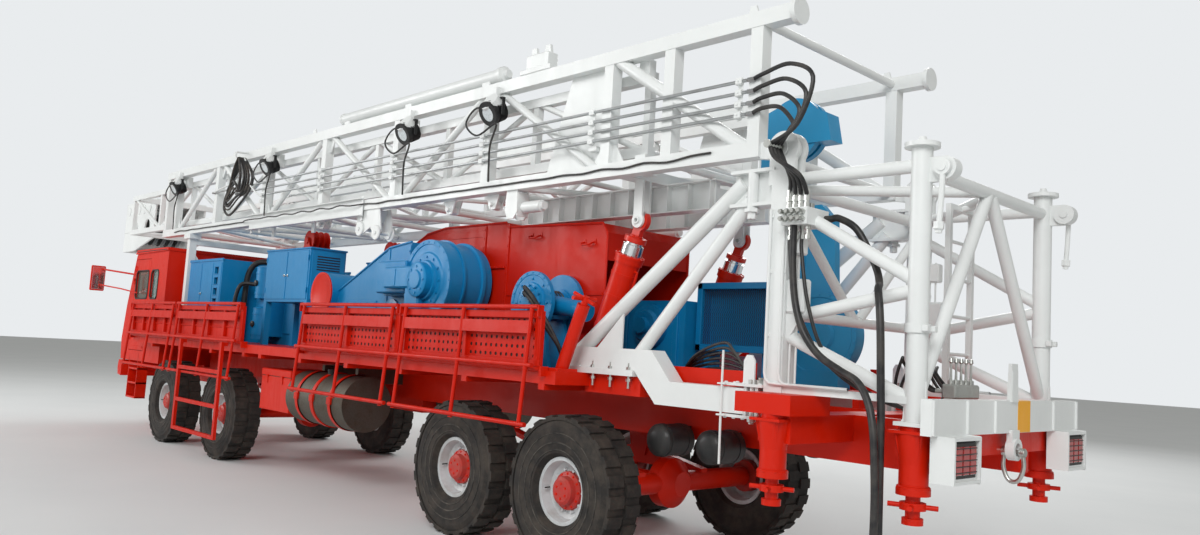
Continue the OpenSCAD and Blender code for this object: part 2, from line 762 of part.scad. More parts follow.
// Sheet hood over the drawworks, higher over the drum and sloped at its front.
module drawworks_guard() {
    t = 6;
    top = guard_top;
    low = 2290;
    side = [
        [guard_rear, low], [guard_rear, top - 180], [guard_rear + 70, top - 90], [guard_rear + 1500, top - 50],
        [guard_rear + 1530, top], [guard_front - 650, top], [guard_front - 300, top - 50],
        [guard_front, top - 180], [guard_front, low]
    ];
    inside = [
        [guard_rear - 10, low - 90], [guard_rear + t, top - 180 - t], [guard_rear + 74, top - 90 - t],
        [guard_rear + 1504, top - 50 - t], [guard_rear + 1534, top - t], [guard_front - 650, top - t],
        [guard_front - 302, top - 50 - t], [guard_front - t, top - 180 - t], [guard_front - t, low - 90]
    ];
    color(red) stand() {
        difference() {
            slab_y(side, -guard_y - t, guard_y + t);
            slab_y(inside, -guard_y, guard_y);
        }
        for (x = [guard_rear + 200, guard_front - 400]) both_sides()
            block([x, guard_y - 40, deck_z], [x + 60, guard_y + 1, low + 10]);
    }
}

// Tall case on the far side, with its round housing low down.
module drum_case() {
    case_y = -600;
    color("#2196c0") stand() {
        slab_y([[-1350, 1700], [-700, 1700], [-620, 3050], [-760, 3200], [-1150, 3200], [-1290, 3050]],
            case_y - 40, case_y + 40);
        disc_y([-1180, case_y, 2030], 760, 120);
        block([-1400, case_y - 120, shelf_z + shelf_t + fit], [-800, case_y + 80, 1720]);
    }
}

// Oil cooler with its open duct, and the pump block beside it.
module cooler() {
    color(blue) stand() {
        difference() {
            block([-850, -535, 1850], [-20, -285, 2470]);
            block([-800, -400, 1900], [-70, -200, 2420]);
        }
        block([-800, -500, rail_z], [-740, -330, 1860]);
        block([-130, -500, deck_z], [-70, -330, 1860]);
        block([20, -520, deck_z], [900, -140, 2300]);
        disc_y([450, -130, 2050], 420, 90);
        block([-30, -500, 1900], [30, -330, 2200]);
    }
}

// Spare jack stowed upright on the deck, leaning back against the mast base.
module stowed_jack() {
    foot = [150, 1300, deck_z + fit];
    color(red) stand() {
        translate(foot) {
            block([-110, -110, 0], [110, 110, 25]);
            difference() {
                bar([0, 0, -60], [-260, 0, 560], 110);
                block([-200, -200, -200], [200, 200, 0]);
            }
            bar([-235, 0, 500], [-290, 0, 630], 60);
            bar([-390, 0, 560], [-140, 0, 660], 34);
            bar([-265, -130, 610], [-265, 130, 610], 34);
        }
    }
}

// Mast base: stepped rails, posts that carry the mast's pivot, rear legs and the tubes between them.
fork_gap = 70;
fork_t = 30;
pin_d = 90;
base_low = rail_z + fit;
manifold = [[-2140, 890, 2730], [-1930, 1160, 2850]];
module mast_base() {
    post_x = -pivot_back;
    rear_x = -leg_back;
    top_z = pivot_z - 230;
    color(white) stand() difference() {
        union() {
            both_sides() base_side(post_x, rear_x, top_z);
            bar([rear_x, -mast_y, top_z - 10], [rear_x, mast_y, top_z - 10], tube_d);
            bar([post_x, -mast_y, top_z - 30], [post_x, mast_y, top_z - 30], tube_d);
            bar([post_x, -mast_y, 2120], [post_x, mast_y, 2120], tube_d - 6);
            ladder(rear_x + 330, -280, base_low, top_z - 40);
            block(manifold[0], manifold[1]);
        }
        both_sides() translate([rear_x, mast_y, base_low - 20])
            cylinder(h = screw_top + 60 - base_low, d = screw_d + 2 * run);
    }
}

// One side frame of the base with its half of the rear bracing.
module base_side(post_x, rear_x, top_z) {
    slab_y([
        [foot_front - 130, deck_z + 220], [foot_rear - 180, deck_z + 220], [foot_rear - 390, step_top],
        [girder_end, step_top], [girder_end, step_top - 185], [foot_rear - 245, step_top - 185],
        [foot_rear, deck_z + 49], [foot_front - 30, deck_z + 49]
    ], mast_y - 80, mast_y + 80);
    block([foot_rear, mast_y - 100, deck_z], [foot_front, mast_y + 100, deck_z + 50]);
    girder_joint();
    pivot_bracket(post_x);
    block([post_x - 75, mast_y - 75, box_top + fit], [post_x + 75, mast_y + 75, pivot_z - 150]);
    block([rear_x, mast_y - 60, box_top + fit], [post_x + 1, mast_y + 60, box_top + 47]);
    for (y = [mast_y - fork_gap / 2 - fork_t, mast_y + fork_gap / 2]) fork_plate(post_x, y);
    translate([rear_x, mast_y, base_low]) cylinder(h = leg_top - base_low, d = leg_d);
    translate([rear_x, mast_y, leg_top - 30]) cylinder(h = 30, d = leg_d + 90);
    translate([rear_x, mast_y, 2010]) cylinder(h = 60, d = leg_d + 26);
    block([rear_x - 170, mast_y - 20, leg_top - 260], [rear_x, mast_y + 20, leg_top - 100]);
    disc_y([rear_x - 170, mast_y, leg_top - 180], 150, 90);
    bar([-1500, mast_y, top_z + 20], [200, mast_y, deck_z + 185], 126);
    bar([-1560, mast_y, top_z - 112], [-500, mast_y, deck_z + 185], 106);
    slab_y([[-40, deck_z + 219], [-330, deck_z + 219], [-330, deck_z + 510]], mast_y + 25, mast_y + 40);
    bar([post_x - 20, mast_y, top_z + 10], [rear_x + 20, mast_y, top_z + 10], tube_d);
    bar([post_x - 20, mast_y, top_z - 170], [rear_x + 20, mast_y, 2340], tube_d);
    bar([post_x - 20, mast_y, 2080], [rear_x + 20, mast_y, 2280], tube_d);
    bar([post_x - 20, mast_y, 1985], [rear_x + 20, mast_y, box_top + 10], tube_d + 10);
    bar([rear_x, 30, top_z - 30], [rear_x, mast_y - 30, base_low + 200], tube_d);
    bar([post_x - 20, mast_y - 20, top_z - 60], [rear_x + 20, 70, top_z - 10], tube_d - 13);
    bar([post_x, 40, 2140], [post_x, mast_y - 30, top_z - 120], tube_d - 13);
    block([rear_x - 90, mast_y - 110, base_low], [rear_x + 90, mast_y + 110, base_low + 25]);
    for (a = [0, 180]) translate([rear_x, mast_y, base_low + 20]) rotate(a)
        slab_y([[0, 0], [95, 0], [80, 20], [leg_d / 2 + 5, 260], [0, 260]], -8, 8);
}

// Bolted joint at the girder's rear end: two flanges and the upright pins through them.
foot_front = 330;
foot_rear = -520;
step_top = 1575;
girder_end = -1620;
module girder_joint() {
    block([-1790, mast_y - 80, step_top + 14], [girder_end + 195, mast_y + 100, step_top + 34]);
    block([-1740, mast_y - 80, step_top - 213], [girder_end + 180, mast_y + 100, step_top - 193]);
    for (x = [girder_end - 20, -1740])
        block([x, mast_y - 75, step_top - 194], [x + 24, mast_y + 75, step_top + 15]);
    for (y = [-40, 60]) translate([-1680, mast_y + y, step_top - 235]) cylinder(h = 300, d = 34);
}

// Bracket from the post's head forward to the two struts.
module pivot_bracket(post_x) {
    front = post_x + 450;
    for (z = [2900, 3150]) block([post_x + 60, mast_y - 75, z], [front, mast_y + 75, z + 25]);
    block([post_x + 60, mast_y - 10, 2900], [front, mast_y + 10, 3160]);
    translate([post_x + 265, mast_y + 40, 2880]) cylinder(h = 290, d = 80);
}

// Plate of the pivot's fork, standing on the post.
module fork_plate(x, y) {
    difference() {
        union() {
            disc_y([x, y + fork_t / 2, pivot_z], 260, fork_t);
            block([x - 110, y, pivot_z - 260], [x + 110, y + fork_t, pivot_z]);
        }
        disc_y([x, y + fork_t / 2, pivot_z], pin_d + seat_gap, fork_t + 10);
    }
}

// Upright ladder whose rungs run along Y, centred on y.
module ladder(x, y, low_z, high_z) {
    for (s = [-190, 190]) block([x - 20, y + s - 20, low_z], [x + 20, y + s + 20, high_z]);
    for (z = [low_z + 200:280:high_z - 60]) bar([x, y - 190, z], [x, y + 190, z], 26);
    block([x - 40, y - 230, low_z], [x + 40, y + 230, low_z + 40]);
    bar([x, y, high_z - 20], [-leg_back, y, pivot_z - 240], 50);
    block([x - 20, y - 190, high_z - 40], [x + 20, y + 190, high_z]);
}

// Rest behind the cab that holds the lowered mast.
rest_x = 9600;
module mast_rest() {
    top = mast_low - chord_w / 2 - fit;
    color(white) stand() {
        both_sides() {
            square_bar([rest_x, mast_y, deck_z], [rest_x, mast_y, top - 60], 110);
            block([rest_x - 130, mast_y - 90, top - 80], [rest_x + 130, mast_y + 90, top]);
            bar([rest_x, mast_y, top - 300], [rest_x, 200, deck_z + 300], 70);
            block([rest_x - 60, 140, deck_z], [rest_x + 60, 260, deck_z + 320]);
        }
        square_bar([rest_x, -mast_y, top - 130], [rest_x, mast_y, top - 130], 90);
    }
}

// Folding walkways stand up along the deck's edge; each is two panels on one hinge tube.
hinge_y = deck_y + 38;
hinge_z = deck_z + 12;
front_walk = [6180, 8490, 8540, 10560];
rear_walk = [180, 2320, 2370, 4500];
panel_t = 40;
module walkway(span, side) {
    color(red) stand() for_side(side) {
        for (p = [0, 2]) difference() {
            block([span[p], hinge_y - panel_t / 2, hinge_z + 20],
                [span[p + 1], hinge_y + panel_t / 2, hinge_z + walk_w]);
            block([span[p] + 50, hinge_y - panel_t / 2 + 6, hinge_z + 60],
                [span[p + 1] - 50, hinge_y + panel_t, hinge_z + walk_w - 40]);
        }
        difference() {
            bar([span[0], hinge_y, hinge_z], [span[3], hinge_y, hinge_z], 50);
            bar([span[0] - 5, hinge_y, hinge_z], [span[0] + 70, hinge_y, hinge_z], hinge_pin + 2 * seat_gap);
            bar([span[3] - 70, hinge_y, hinge_z], [span[3] + 5, hinge_y, hinge_z], hinge_pin + 2 * seat_gap);
        }
        for (p = [0, 2]) {
            rail_lug(span[p], 1);
            rail_lug(span[p + 1], -1);
        }
        block([span[1] - 40, hinge_y - 12, hinge_z + walk_w - 70],
            [span[2] + 40, hinge_y + 12, hinge_z + walk_w - 20]);
        for (p = [0:3]) {
            x = span[p] + (p % 2 == 0 ? 90 : -150);
            block([x, hinge_y - 12, hinge_z], [x + 60, hinge_y + 12, hinge_z + 60]);
        }
    }
}

// Arm at a panel's corner with the pin that enters the handrail's top tube.
rail_pin = 18;
module rail_lug(x, s) {
    block([min(x, x + s * 12), hinge_y, rail_hinge_z - 80],
        [max(x, x + s * 12), rail_hinge_y + 15, rail_hinge_z + 15]);
    bar([x + s * 6, rail_hinge_y, rail_hinge_z], [x + s * 60, rail_hinge_y, rail_hinge_z], rail_pin);
}

// Handrail hung from the walkway's outer edge, with its bottom swung out.
rail_hinge_y = hinge_y + panel_t / 2 + 28;
rail_hinge_z = hinge_z + walk_w + 33;
lean_out = 70;
module handrail(span, side, steps) {
    function at(x, s) = [x, rail_hinge_y + s * lean_out, rail_hinge_z - s * rail_tall];
    color(red) stand() for_side(side) {
        for (p = [0, 2]) {
            low = span[p] + 18;
            high = span[p + 1] - 18;
            for (x = [low + 80, (low + high) / 2, high - 80]) bar(at(x, 0.005), at(x, 0.995), hand_d - 4);
            difference() {
                bar(at(low, 0), at(high, 0), hand_d);
                bar(at(low - 5, 0), at(low + 60, 0), rail_pin + 2 * seat_gap);
                bar(at(high - 60, 0), at(high + 5, 0), rail_pin + 2 * seat_gap);
            }
            for (s = [0.5, 1]) bar(at(low, s), at(high, s), hand_d);
            slab_x(at(0, 0.12), at(0, 0.23), low + 60, high - 60, 10);
        }
        bar(at(span[1] - 60, 0.5), at(span[2] + 60, 0.5), hand_d - 6);
        if (steps) side_ladder(at(0, 0.55));
    }
}

// Flat strip between two heights of a leaning rail.
module slab_x(a, b, x0, x1, t) {
    translate([x0, 0, 0]) rotate([90, 0, 90]) linear_extrude(x1 - x0)
        polygon([[a.y, a.z], [a.y + t, a.z], [b.y + t, b.z], [b.y, b.z]]);
}

// Side ladder hooked on the front handrail.
module side_ladder(top) {
    y = top.y + 40;
    for (x = [6420, 7880]) block([x, y, 330], [x + 60, y + 40, top.z + 20]);
    for (z = [330, 730, 1180]) block([6420, y, z], [7940, y + 40, z + 50]);
    for (x = [6430, 7890]) block([x, top.y - 10, top.z - 30], [x + 40, y + 10, top.z + 20]);
}

// Outer mast section: two side trusses with the foot, and the tubes that join them.
stations = concat([-1580, -710], [for (i = [0:6]) i * bay]);
outer_end = 6 * bay + 470;
lug_x = top_pin.x;
module mast_outer() {
    foot_x = -1640;
    last = len(stations) - 1;
    half = chord_w / 2;
    post_low = mast_low + half - 8;
    post_high = mast_top - half + 8;
    reach = mast_y - half - fit;
    color(white) stand() {
        both_sides() {
            block([chord_end + 30, mast_y - half, mast_top - half],
                [outer_end, mast_y + half, mast_top + half]);
            translate([chord_end, mast_y, mast_top]) rotate([0, 90, 0]) cylinder(h = 40, d = 200);
            block([foot_x, mast_y - half, mast_low - half], [outer_end, mast_y + half, mast_low + half]);
            mast_foot(foot_x);
            for (x = concat(stations, [outer_end - post_w / 2]))
                translate([x - post_w / 2, mast_y - post_w / 2, post_low])
                    cube([post_w, post_w, post_high - post_low]);
            bar([-60, mast_y, mast_top - 20], [-1480, mast_y, mast_low + 30], 106);
            for (i = [2:last - 1]) side_diagonal(i);
            slab_y([[70, post_low], [860, post_low], [560, post_high], [70, post_high]],
                mast_y - 42, mast_y - 28);
            for (x = concat(-330, [for (i = [4, 6, 8]) stations[i] - 130])) guide_pad(x);
        }
        for (x = stations) bar([x, -reach, mast_low], [x, reach, mast_low], brace_d - 6);
        bar([stations[0], -reach, mast_top], [stations[0], reach, mast_top], brace_d - 6);
        for (i = [2:last - 1]) cross_diagonal([stations[i] + 90, stations[i + 1] - 290], mast_y, reach,
            mast_low - 8, brace_d - 14, i % 2);
        block([lug_x - 55, -reach, mast_low - 52], [lug_x + 55, reach, mast_low + 50]);
        both_sides() for (y = [raise_y - eye_w / 2 - run - 25, raise_y + eye_w / 2 + run]) rod_lug(y);
    }
}

// Lug and pin on which the mast turns.
module mast_foot(foot_x) {
    lug_half = fork_gap / 2 - run;
    slab_y([
        [foot_x + 120, mast_low - 50], [foot_x + 120, mast_low + 50], [-pivot_back, pivot_z + 80],
        [-pivot_back, pivot_z - 80]
    ], mast_y - lug_half, mast_y + lug_half);
    disc_y([-pivot_back, mast_y, pivot_z], 200, 2 * lug_half);
    disc_y([-pivot_back, mast_y, pivot_z], pin_d, fork_gap + 2 * fork_t + 60);
}

// Plate of the fork in which a raising cylinder's eye stands.
module rod_lug(y) {
    difference() {
        union() {
            disc_y([top_pin.x, y + 12.5, top_pin.y], 130, 25);
            block([top_pin.x - 50, y, top_pin.y], [top_pin.x + 50, y + 25, mast_low - 20]);
        }
        disc_y([top_pin.x, y + 12.5, top_pin.y], 60, 40);
    }
}

module side_diagonal(i) {
    up = i % 2 == 0;
    reach = 110;
    bar(
        [stations[i] + reach, mast_y, up ? mast_low + 20 : mast_top - 20],
        [stations[i + 1] - reach, mast_y, up ? mast_top - 20 : mast_low + 20], brace_d
    );
}

// Tube that runs aslant between two trusses, trimmed flat where it meets them.
module cross_diagonal(span, y, reach, z, d, turned) {
    s = turned == 0 ? 1 : -1;
    intersection() {
        bar([span[0], -s * y, z], [span[1], s * y, z], d);
        block([span[0] - 200, -reach, z - d], [span[1] + 200, reach, z + d]);
    }
}

// Shelf under the inner section's lower chord, and the pad beside its upper one.
inner_y = mast_y - chord_w / 2 - nest_gap - inner_w / 2;
inner_low = mast_low + chord_w / 2 + nest_gap + inner_w / 2;
inner_top = mast_top - chord_w / 2 - nest_gap - inner_w / 2;
module guide_pad(x) {
    shelf_z = inner_low - inner_w / 2 - fit;
    block([x - 60, inner_y - inner_w / 2, mast_low - 40], [x + 60, mast_y - chord_w / 2 + 10, shelf_z]);
    block([x - 60, inner_y + inner_w / 2 + fit, mast_top - 230],
        [x + 60, mast_y - chord_w / 2 + 10, mast_top - 50]);
}

// Inner mast section with the crown frame at its end.
inner_start = -300;
inner_end = inner_start + 9 * inner_bay;
module mast_inner() {
    half = inner_w / 2;
    reach = inner_y - half - fit;
    color(white) stand() {
        both_sides() {
            for (z = [inner_low, inner_top])
                block([inner_start - half, inner_y - half, z - half],
                    [inner_end + half, inner_y + half, z + half]);
            for (i = [0:9]) translate([inner_start + i * inner_bay - 35, inner_y - 35, inner_low])
                cube([70, 70, inner_top - inner_low]);
            for (i = [0:8]) bar(
                [inner_start + i * inner_bay, inner_y, i % 2 == 0 ? inner_low : inner_top],
                [inner_start + (i + 1) * inner_bay, inner_y, i % 2 == 0 ? inner_top : inner_low], 60);
        }
        for (i = [0:8]) {
            x = inner_start + i * inner_bay;
            bar([x, -reach, inner_low], [x, reach, inner_low], 60);
            cross_diagonal([x + 90, x + inner_bay - 90], inner_y, reach, inner_low, 50, i % 2);
        }
        for (z = [inner_low, inner_top])
            block([inner_end - half, -reach, z - half], [inner_end + half, reach, z + half]);
        both_sides() crown_plate();
        block([crown_tip - 40, -480, crown_low], [crown_tip, 480, crown_high]);
        block([inner_end, -480, inner_top + half - 1], [crown_tip, 480, inner_top + half + 30]);
    }
}

// Side plate of the crown, with its row of round holes and the sheaves' bearing bore.
crown_low = 3230;
crown_high = 4200;
crown_y = 450;
sheave_x = 14250;
sheave_z = 3700;
sheave_shaft_d = 110;
module crown_plate() {
    difference() {
        slab_y([
            [inner_end, inner_low - 45], [14300, crown_low], [crown_tip, crown_low], [crown_tip, crown_high],
            [inner_end, crown_high]
        ], crown_y, crown_y + 30);
        for (x = [13550:300:14800]) disc_y([x, crown_y, 4060], 150, 100);
        disc_y([sheave_x, crown_y, sheave_z], sheave_shaft_d + seat_gap, 100);
        disc_y([13600, crown_y, 3700], 300, 100);
    }
}

// Crown sheaves on their shaft.
module crown_sheaves() {
    color(steel) stand() {
        disc_y([sheave_x, 0, sheave_z], sheave_shaft_d, 2 * crown_y + 60);
        for (y = [-300:150:300]) sheave([sheave_x, y, sheave_z], 640, 70);
    }
}

// Grooved sheave, its axis along Y.
module sheave(p, d, w) {
    translate(p) rotate([90, 0, 0]) rotate_extrude() polygon([
        [50, -w / 2], [90, -w / 2], [90, -12], [d / 2 - 70, -12], [d / 2 - 60, -w / 2], [d / 2, -w / 2],
        [d / 2 - 36, -8], [d / 2 - 36, 8], [d / 2, w / 2], [d / 2 - 60, w / 2], [d / 2 - 70, 12], [90, 12],
        [90, w / 2], [50, w / 2]
    ]);
}

// What is fixed on the outer section: the long cylinder, its clamps and the floodlights.
lamp_x = [1560, 3120, 6660, 10170];
module mast_fittings() {
    z = mast_top + chord_w / 2 + 90;
    color(white) stand() {
        translate([1580, mast_y, z]) rotate([0, 90, 0]) cylinder(h = 3200, d = 140);
        translate([1560, mast_y, z]) rotate([0, 90, 0]) cylinder(h = 60, d = 170);
        for (x = [1750, 3200, 4600]) block([x, mast_y - 50, z - 90 + fit], [x + 120, mast_y + 50, z]);
    }
    color(black) stand() for (x = lamp_x) {
        translate([x, mast_y + 62, 4100]) rotate([-60, 0, 0]) cylinder(h = 130, d = 210);
        block([x - 20, mast_y + chord_w / 2 + fit, 4060], [x + 20, mast_y + 110, mast_top]);
    }
}

// Travelling block stowed in the mast's foot.
module travelling_block() {
    color("#2196c0") stand() {
        for (y = [-420, -320]) disc_y([-1000, y, 3850], 560, 60);
        slab_y([[-1400, 3700], [-1350, 3950], [-1000, 4120], [-650, 4000], [-650, 3700]], -465, -275);
        block([stations[1] - 50, -440, mast_low + (brace_d - 6) / 2 + fit], [stations[1] + 50, -300, 3760]);
    }
}

// Hoses that hang from the manifold over the base's tube to the ground; points are chosen by hand.
hose_d = 50;
hose_1_route = [
    [-2140 - fit, 930, 2790], [-2190, 930, 2790], [-2250, 930, 2790], [-2380, 930, 2715], [-2480, 925, 2560],
    [-2550, 930, 2420],
    [-2600, 985, 2325], [-2640, 1070, 2285], [-2690, 1135, 2160], [-2715, 1158, 1980], [-2725, 1160, 1750],
    [-2735, 1160, 1500], [-2738, 1160, 1250], [-2740, 1160, 1000], [-2745, 1165, 750], [-2750, 1170, 500],
    [-2765, 1185, 280], [-2810, 1230, 100], [-2900, 1310, 30], [-3050, 1400, 27]
];
hose_2_route = [
    [-2010, 1120, 2730 - fit], [-2010, 1120, 2660], [-2010, 1120, 2600], [-2020, 1125, 2400],
    [-2055, 1130, 2180], [-2130, 1138, 1990], [-2260, 1142, 1840], [-2420, 1148, 1750], [-2570, 1170, 1680],
    [-2670, 1208, 1560], [-2725, 1234, 1400], [-2745, 1240, 1200], [-2755, 1240, 980],
    [-2755, 1242, 750], [-2750, 1245, 500], [-2735, 1258, 280],
    [-2690, 1300, 100], [-2590, 1370, 30], [-2440, 1430, 27]
];

// Point at share t of the way from route point i to the next, on a smooth curve through them all.
function between(p, i, t) = let (
    a = p[max(i - 1, 0)], b = p[i], c = p[i + 1], d = p[min(i + 2, len(p) - 1)]
) (2 * b + (c - a) * t + (2 * a - 5 * b + 4 * c - d) * t * t + (3 * b - a - 3 * c + d) * t * t * t) / 2;
function smoothed(p) = concat(
    [for (i = [0:len(p) - 2]) for (t = [0, 0.5]) between(p, i, t)], [p[len(p) - 1]]
);
function unit(v) = v / norm(v);
function heading(path, i) = unit(path[min(i + 1, len(path) - 1)] - path[max(i - 1, 0)]);

// Sideways direction at each ring, carried along the path without twist.
function sideways(path, i, u) = i == len(path) ? [] : let (
    t = heading(path, i), v = unit(u - (u * t) * t)
) concat([v], sideways(path, i + 1, v));

module hose(points) {
    sides = 10;
    path = smoothed(points);
    u = sideways(path, 0, [0, 1, 0]);
    n = len(path);
    color(black) stand() polyhedron(
        [for (i = [0:n - 1]) let (w = cross(heading(path, i), u[i])) for (k = [0:sides - 1])
            path[i] + hose_d / 2 * (cos(k * 360 / sides) * u[i] + sin(k * 360 / sides) * w)],
        concat(
            [[for (k = [0:sides - 1]) k]],
            [for (i = [0:n - 2]) for (k = [0:sides - 1]) let (m = (k + 1) % sides)
                [i * sides + k, (i + 1) * sides + k, (i + 1) * sides + m, i * sides + m]],
            [[for (k = [sides - 1:-1:0]) (n - 1) * sides + k]]
        )
    );
}

// Moves children from the cylinder's own axis to both of its places beside the drawworks.
module along_cylinder() {
    both_sides() stand() translate([base_pin.x, raise_y, base_pin.y]) rotate([0, raise_tilt, 0]) children();
}

// Sleeve number n of the telescope, with a collar at its top.
module raise_tube(n, low, high) {
    d = tube_sizes[n];
    inner_d = n == 3 ? 0 : tube_sizes[n + 1];
    difference() {
        union() {
            translate([0, 0, low]) cylinder(h = high - low, d = d);
            if (n == 0) translate([0, 0, high - 60]) cylinder(h = 60, d = d + 26);
        }
        if (n < 3) {
            translate([0, 0, low + 30]) cylinder(h = high - low - 30 - bush_l, d = inner_d + 2 * run);
            translate([0, 0, high - 2 * bush_l]) cylinder(h = 3 * bush_l, d = inner_d + 2 * fit);
        }
    }
}

module raise_barrels() {
    color(red) along_cylinder() {
        raise_tube(0, 90, barrel_l);
        rotate([90, 0, 0]) cylinder(h = eye_w, d = 150, center = true);
        translate([-60, -eye_w / 2, 0]) cube([120, eye_w, 100]);
        rotate([90, 0, 0]) cylinder(h = eye_w + 2 * run + 60, d = 60, center = true);
    }
}

module raise_stages_1() {
    color(steel) along_cylinder() raise_tube(1, 126, barrel_l + 110);
}

module raise_stages_2() {
    color(steel) along_cylinder() raise_tube(2, 162, barrel_l + 130);
}

module raise_rods() {
    cap_z = barrel_l + 130 + run;
    color(steel) along_cylinder() {
        raise_tube(3, 198, raise_l - neck_l);
        translate([0, 0, cap_z]) cylinder(h = 45, d = tube_sizes[1] + 10);
        rotate([90, 0, 0]) difference() {
            translate([0, raise_l, 0]) cylinder(h = eye_w, d = 180, center = true);
            translate([0, raise_l, 0]) cylinder(h = eye_w + 10, d = 84, center = true);
            translate([-42, raise_l, -eye_w]) cube([84, 100, 2 * eye_w]);
        }
        translate([-45, -eye_w / 2, raise_l - neck_l - 10]) cube([90, eye_w, neck_l - 40]);
    }
}

chassis();
deck();
front_axles();
rear_axles();
fuel_tank();
air_tanks();
rear_beam();
cab_shell();
cab_glass();
cab_interior();
door(1);  // door_left
door(-1);  // door_right
engine();
radiator();
cabinet();
chain_case();
drawworks_frame();
drawworks_guard();
drum();
drum_case();
cooler();
stowed_jack();
mast_base();
mast_rest();
knuckle(front_axle_1, 1);  // knuckle_l1
knuckle(front_axle_1, -1);  // knuckle_r1
knuckle(front_axle_2, 1);  // knuckle_l2
knuckle(front_axle_2, -1);  // knuckle_r2
wheel(front_axle_1, 1);  // wheel_l1
wheel(front_axle_1, -1);  // wheel_r1
wheel(front_axle_2, 1);  // wheel_l2
wheel(front_axle_2, -1);  // wheel_r2
wheel(rear_pitch, 1);  // wheel_l3
wheel(rear_pitch, -1);  // wheel_r3
wheel(0, 1);  // wheel_l4
wheel(0, -1);  // wheel_r4
walkway(front_walk, 1);  // walkway_front_left
walkway(rear_walk, 1);  // walkway_rear_left
walkway(front_walk, -1);  // walkway_front_right
walkway(rear_walk, -1);  // walkway_rear_right
handrail(front_walk, 1, true);  // handrail_front_left
handrail(rear_walk, 1, false);  // handrail_rear_left
handrail(front_walk, -1, false);  // handrail_front_right
handrail(rear_walk, -1, false);  // handrail_rear_right
mast_outer();
mast_fittings();
travelling_block();
mast_inner();
crown_sheaves();
raise_barrels();
raise_stages_1();
raise_stages_2();
raise_rods();
jack(-mid_back, mid_y);  // jack_mid_left
jack(-mid_back, -mid_y);  // jack_mid_right
jack(-leg_back, mast_y);  // jack_rear_left
jack(-leg_back, -mast_y);  // jack_rear_right
hose(hose_1_route);  // hose_1
hose(hose_2_route);  // hose_2
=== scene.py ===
import bpy
import bmesh
import math
from mathutils import Matrix, Vector


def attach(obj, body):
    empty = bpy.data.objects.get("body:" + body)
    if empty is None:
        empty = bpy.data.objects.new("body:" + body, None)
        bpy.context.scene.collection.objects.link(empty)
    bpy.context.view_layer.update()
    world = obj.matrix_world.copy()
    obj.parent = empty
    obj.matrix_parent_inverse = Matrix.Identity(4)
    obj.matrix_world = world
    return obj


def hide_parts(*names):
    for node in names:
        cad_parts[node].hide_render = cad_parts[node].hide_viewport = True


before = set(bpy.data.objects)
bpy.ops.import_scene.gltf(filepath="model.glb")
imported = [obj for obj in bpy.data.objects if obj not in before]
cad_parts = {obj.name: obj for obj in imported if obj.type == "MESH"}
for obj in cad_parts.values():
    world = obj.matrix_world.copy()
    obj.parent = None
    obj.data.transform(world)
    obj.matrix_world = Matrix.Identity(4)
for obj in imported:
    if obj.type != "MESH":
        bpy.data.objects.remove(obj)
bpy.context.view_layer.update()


# ---- Camera and studio --------------------------------------------------------------
# The photographer stands off the cab's near corner with a wide lens, held a little askew.
# The floor and the sky are plain and pale; soft lamps stand round the rig.
EYE = Vector((-11.513, 6.4385, 1.784))
YAW, PITCH, ROLL = -0.7646, 0.0904, 0.0594
FOCAL_PX, PHOTO_WIDTH = 913.0, 1200.0

ahead = Vector((math.cos(YAW) * math.cos(PITCH), math.sin(YAW) * math.cos(PITCH), math.sin(PITCH)))
level_right = ahead.cross(Vector((0, 0, 1))).normalized()
level_up = level_right.cross(ahead)
right = math.cos(ROLL) * level_right + math.sin(ROLL) * level_up
up = -math.sin(ROLL) * level_right + math.cos(ROLL) * level_up
lens = bpy.data.cameras.new("camera")
lens.sensor_width = 36.0
lens.lens = 36.0 * FOCAL_PX / PHOTO_WIDTH
lens.clip_end = 400.0
camera = bpy.data.objects.new("camera", lens)
camera.matrix_world = Matrix((
    (right.x, up.x, -ahead.x, EYE.x), (right.y, up.y, -ahead.y, EYE.y), (right.z, up.z, -ahead.z, EYE.z),
    (0, 0, 0, 1),
))
bpy.context.scene.collection.objects.link(camera)
bpy.context.scene.camera = camera
bpy.context.scene.view_settings.view_transform = "Standard"


def linear(hex_colour):
    """sRGB hex as linear RGBA."""
    def channel(i):
        c = int(hex_colour[i:i + 2], 16) / 255
        return c / 12.92 if c <= 0.04045 else ((c + 0.055) / 1.055) ** 2.4
    return (channel(1), channel(3), channel(5), 1.0)


def add_node(tree, kind, inputs=None, **settings):
    """Adds one node with its settings, and links or sets its inputs."""
    n = tree.nodes.new(kind)
    for key, value in settings.items():
        setattr(n, key, value)
    for key, value in (inputs or {}).items():
        if isinstance(value, bpy.types.NodeSocket):
            tree.links.new(value, n.inputs[key])
        else:
            n.inputs[key].default_value = value
    return n


def empty_material(name):
    """A new material, its tree, and where a point lies on its piece."""
    m = bpy.data.materials.new(name)
    m.use_nodes = True
    m.node_tree.nodes.clear()
    return m, m.node_tree, add_node(m.node_tree, "ShaderNodeTexCoord").outputs["Object"]


def noise(t, where, scale, detail=2.0, rough=0.5):
    """Cloudy values from 0 to 1."""
    return add_node(t, "ShaderNodeTexNoise", {"Vector": where, "Scale": scale, "Detail": detail,
        "Roughness": rough}).outputs["Fac"]


def mixed(t, share, one, two):
    """One colour into another by a share; a colour is a hex text, a tuple or a socket."""
    one, two = (linear(c) if isinstance(c, str) else c for c in (one, two))
    return add_node(t, "ShaderNodeMix", {0: share, 6: one, 7: two}, data_type="RGBA").outputs[2]


def maths(t, operation, a, b, **settings):
    return add_node(t, "ShaderNodeMath", {0: a, 1: b}, operation=operation, **settings).outputs[0]


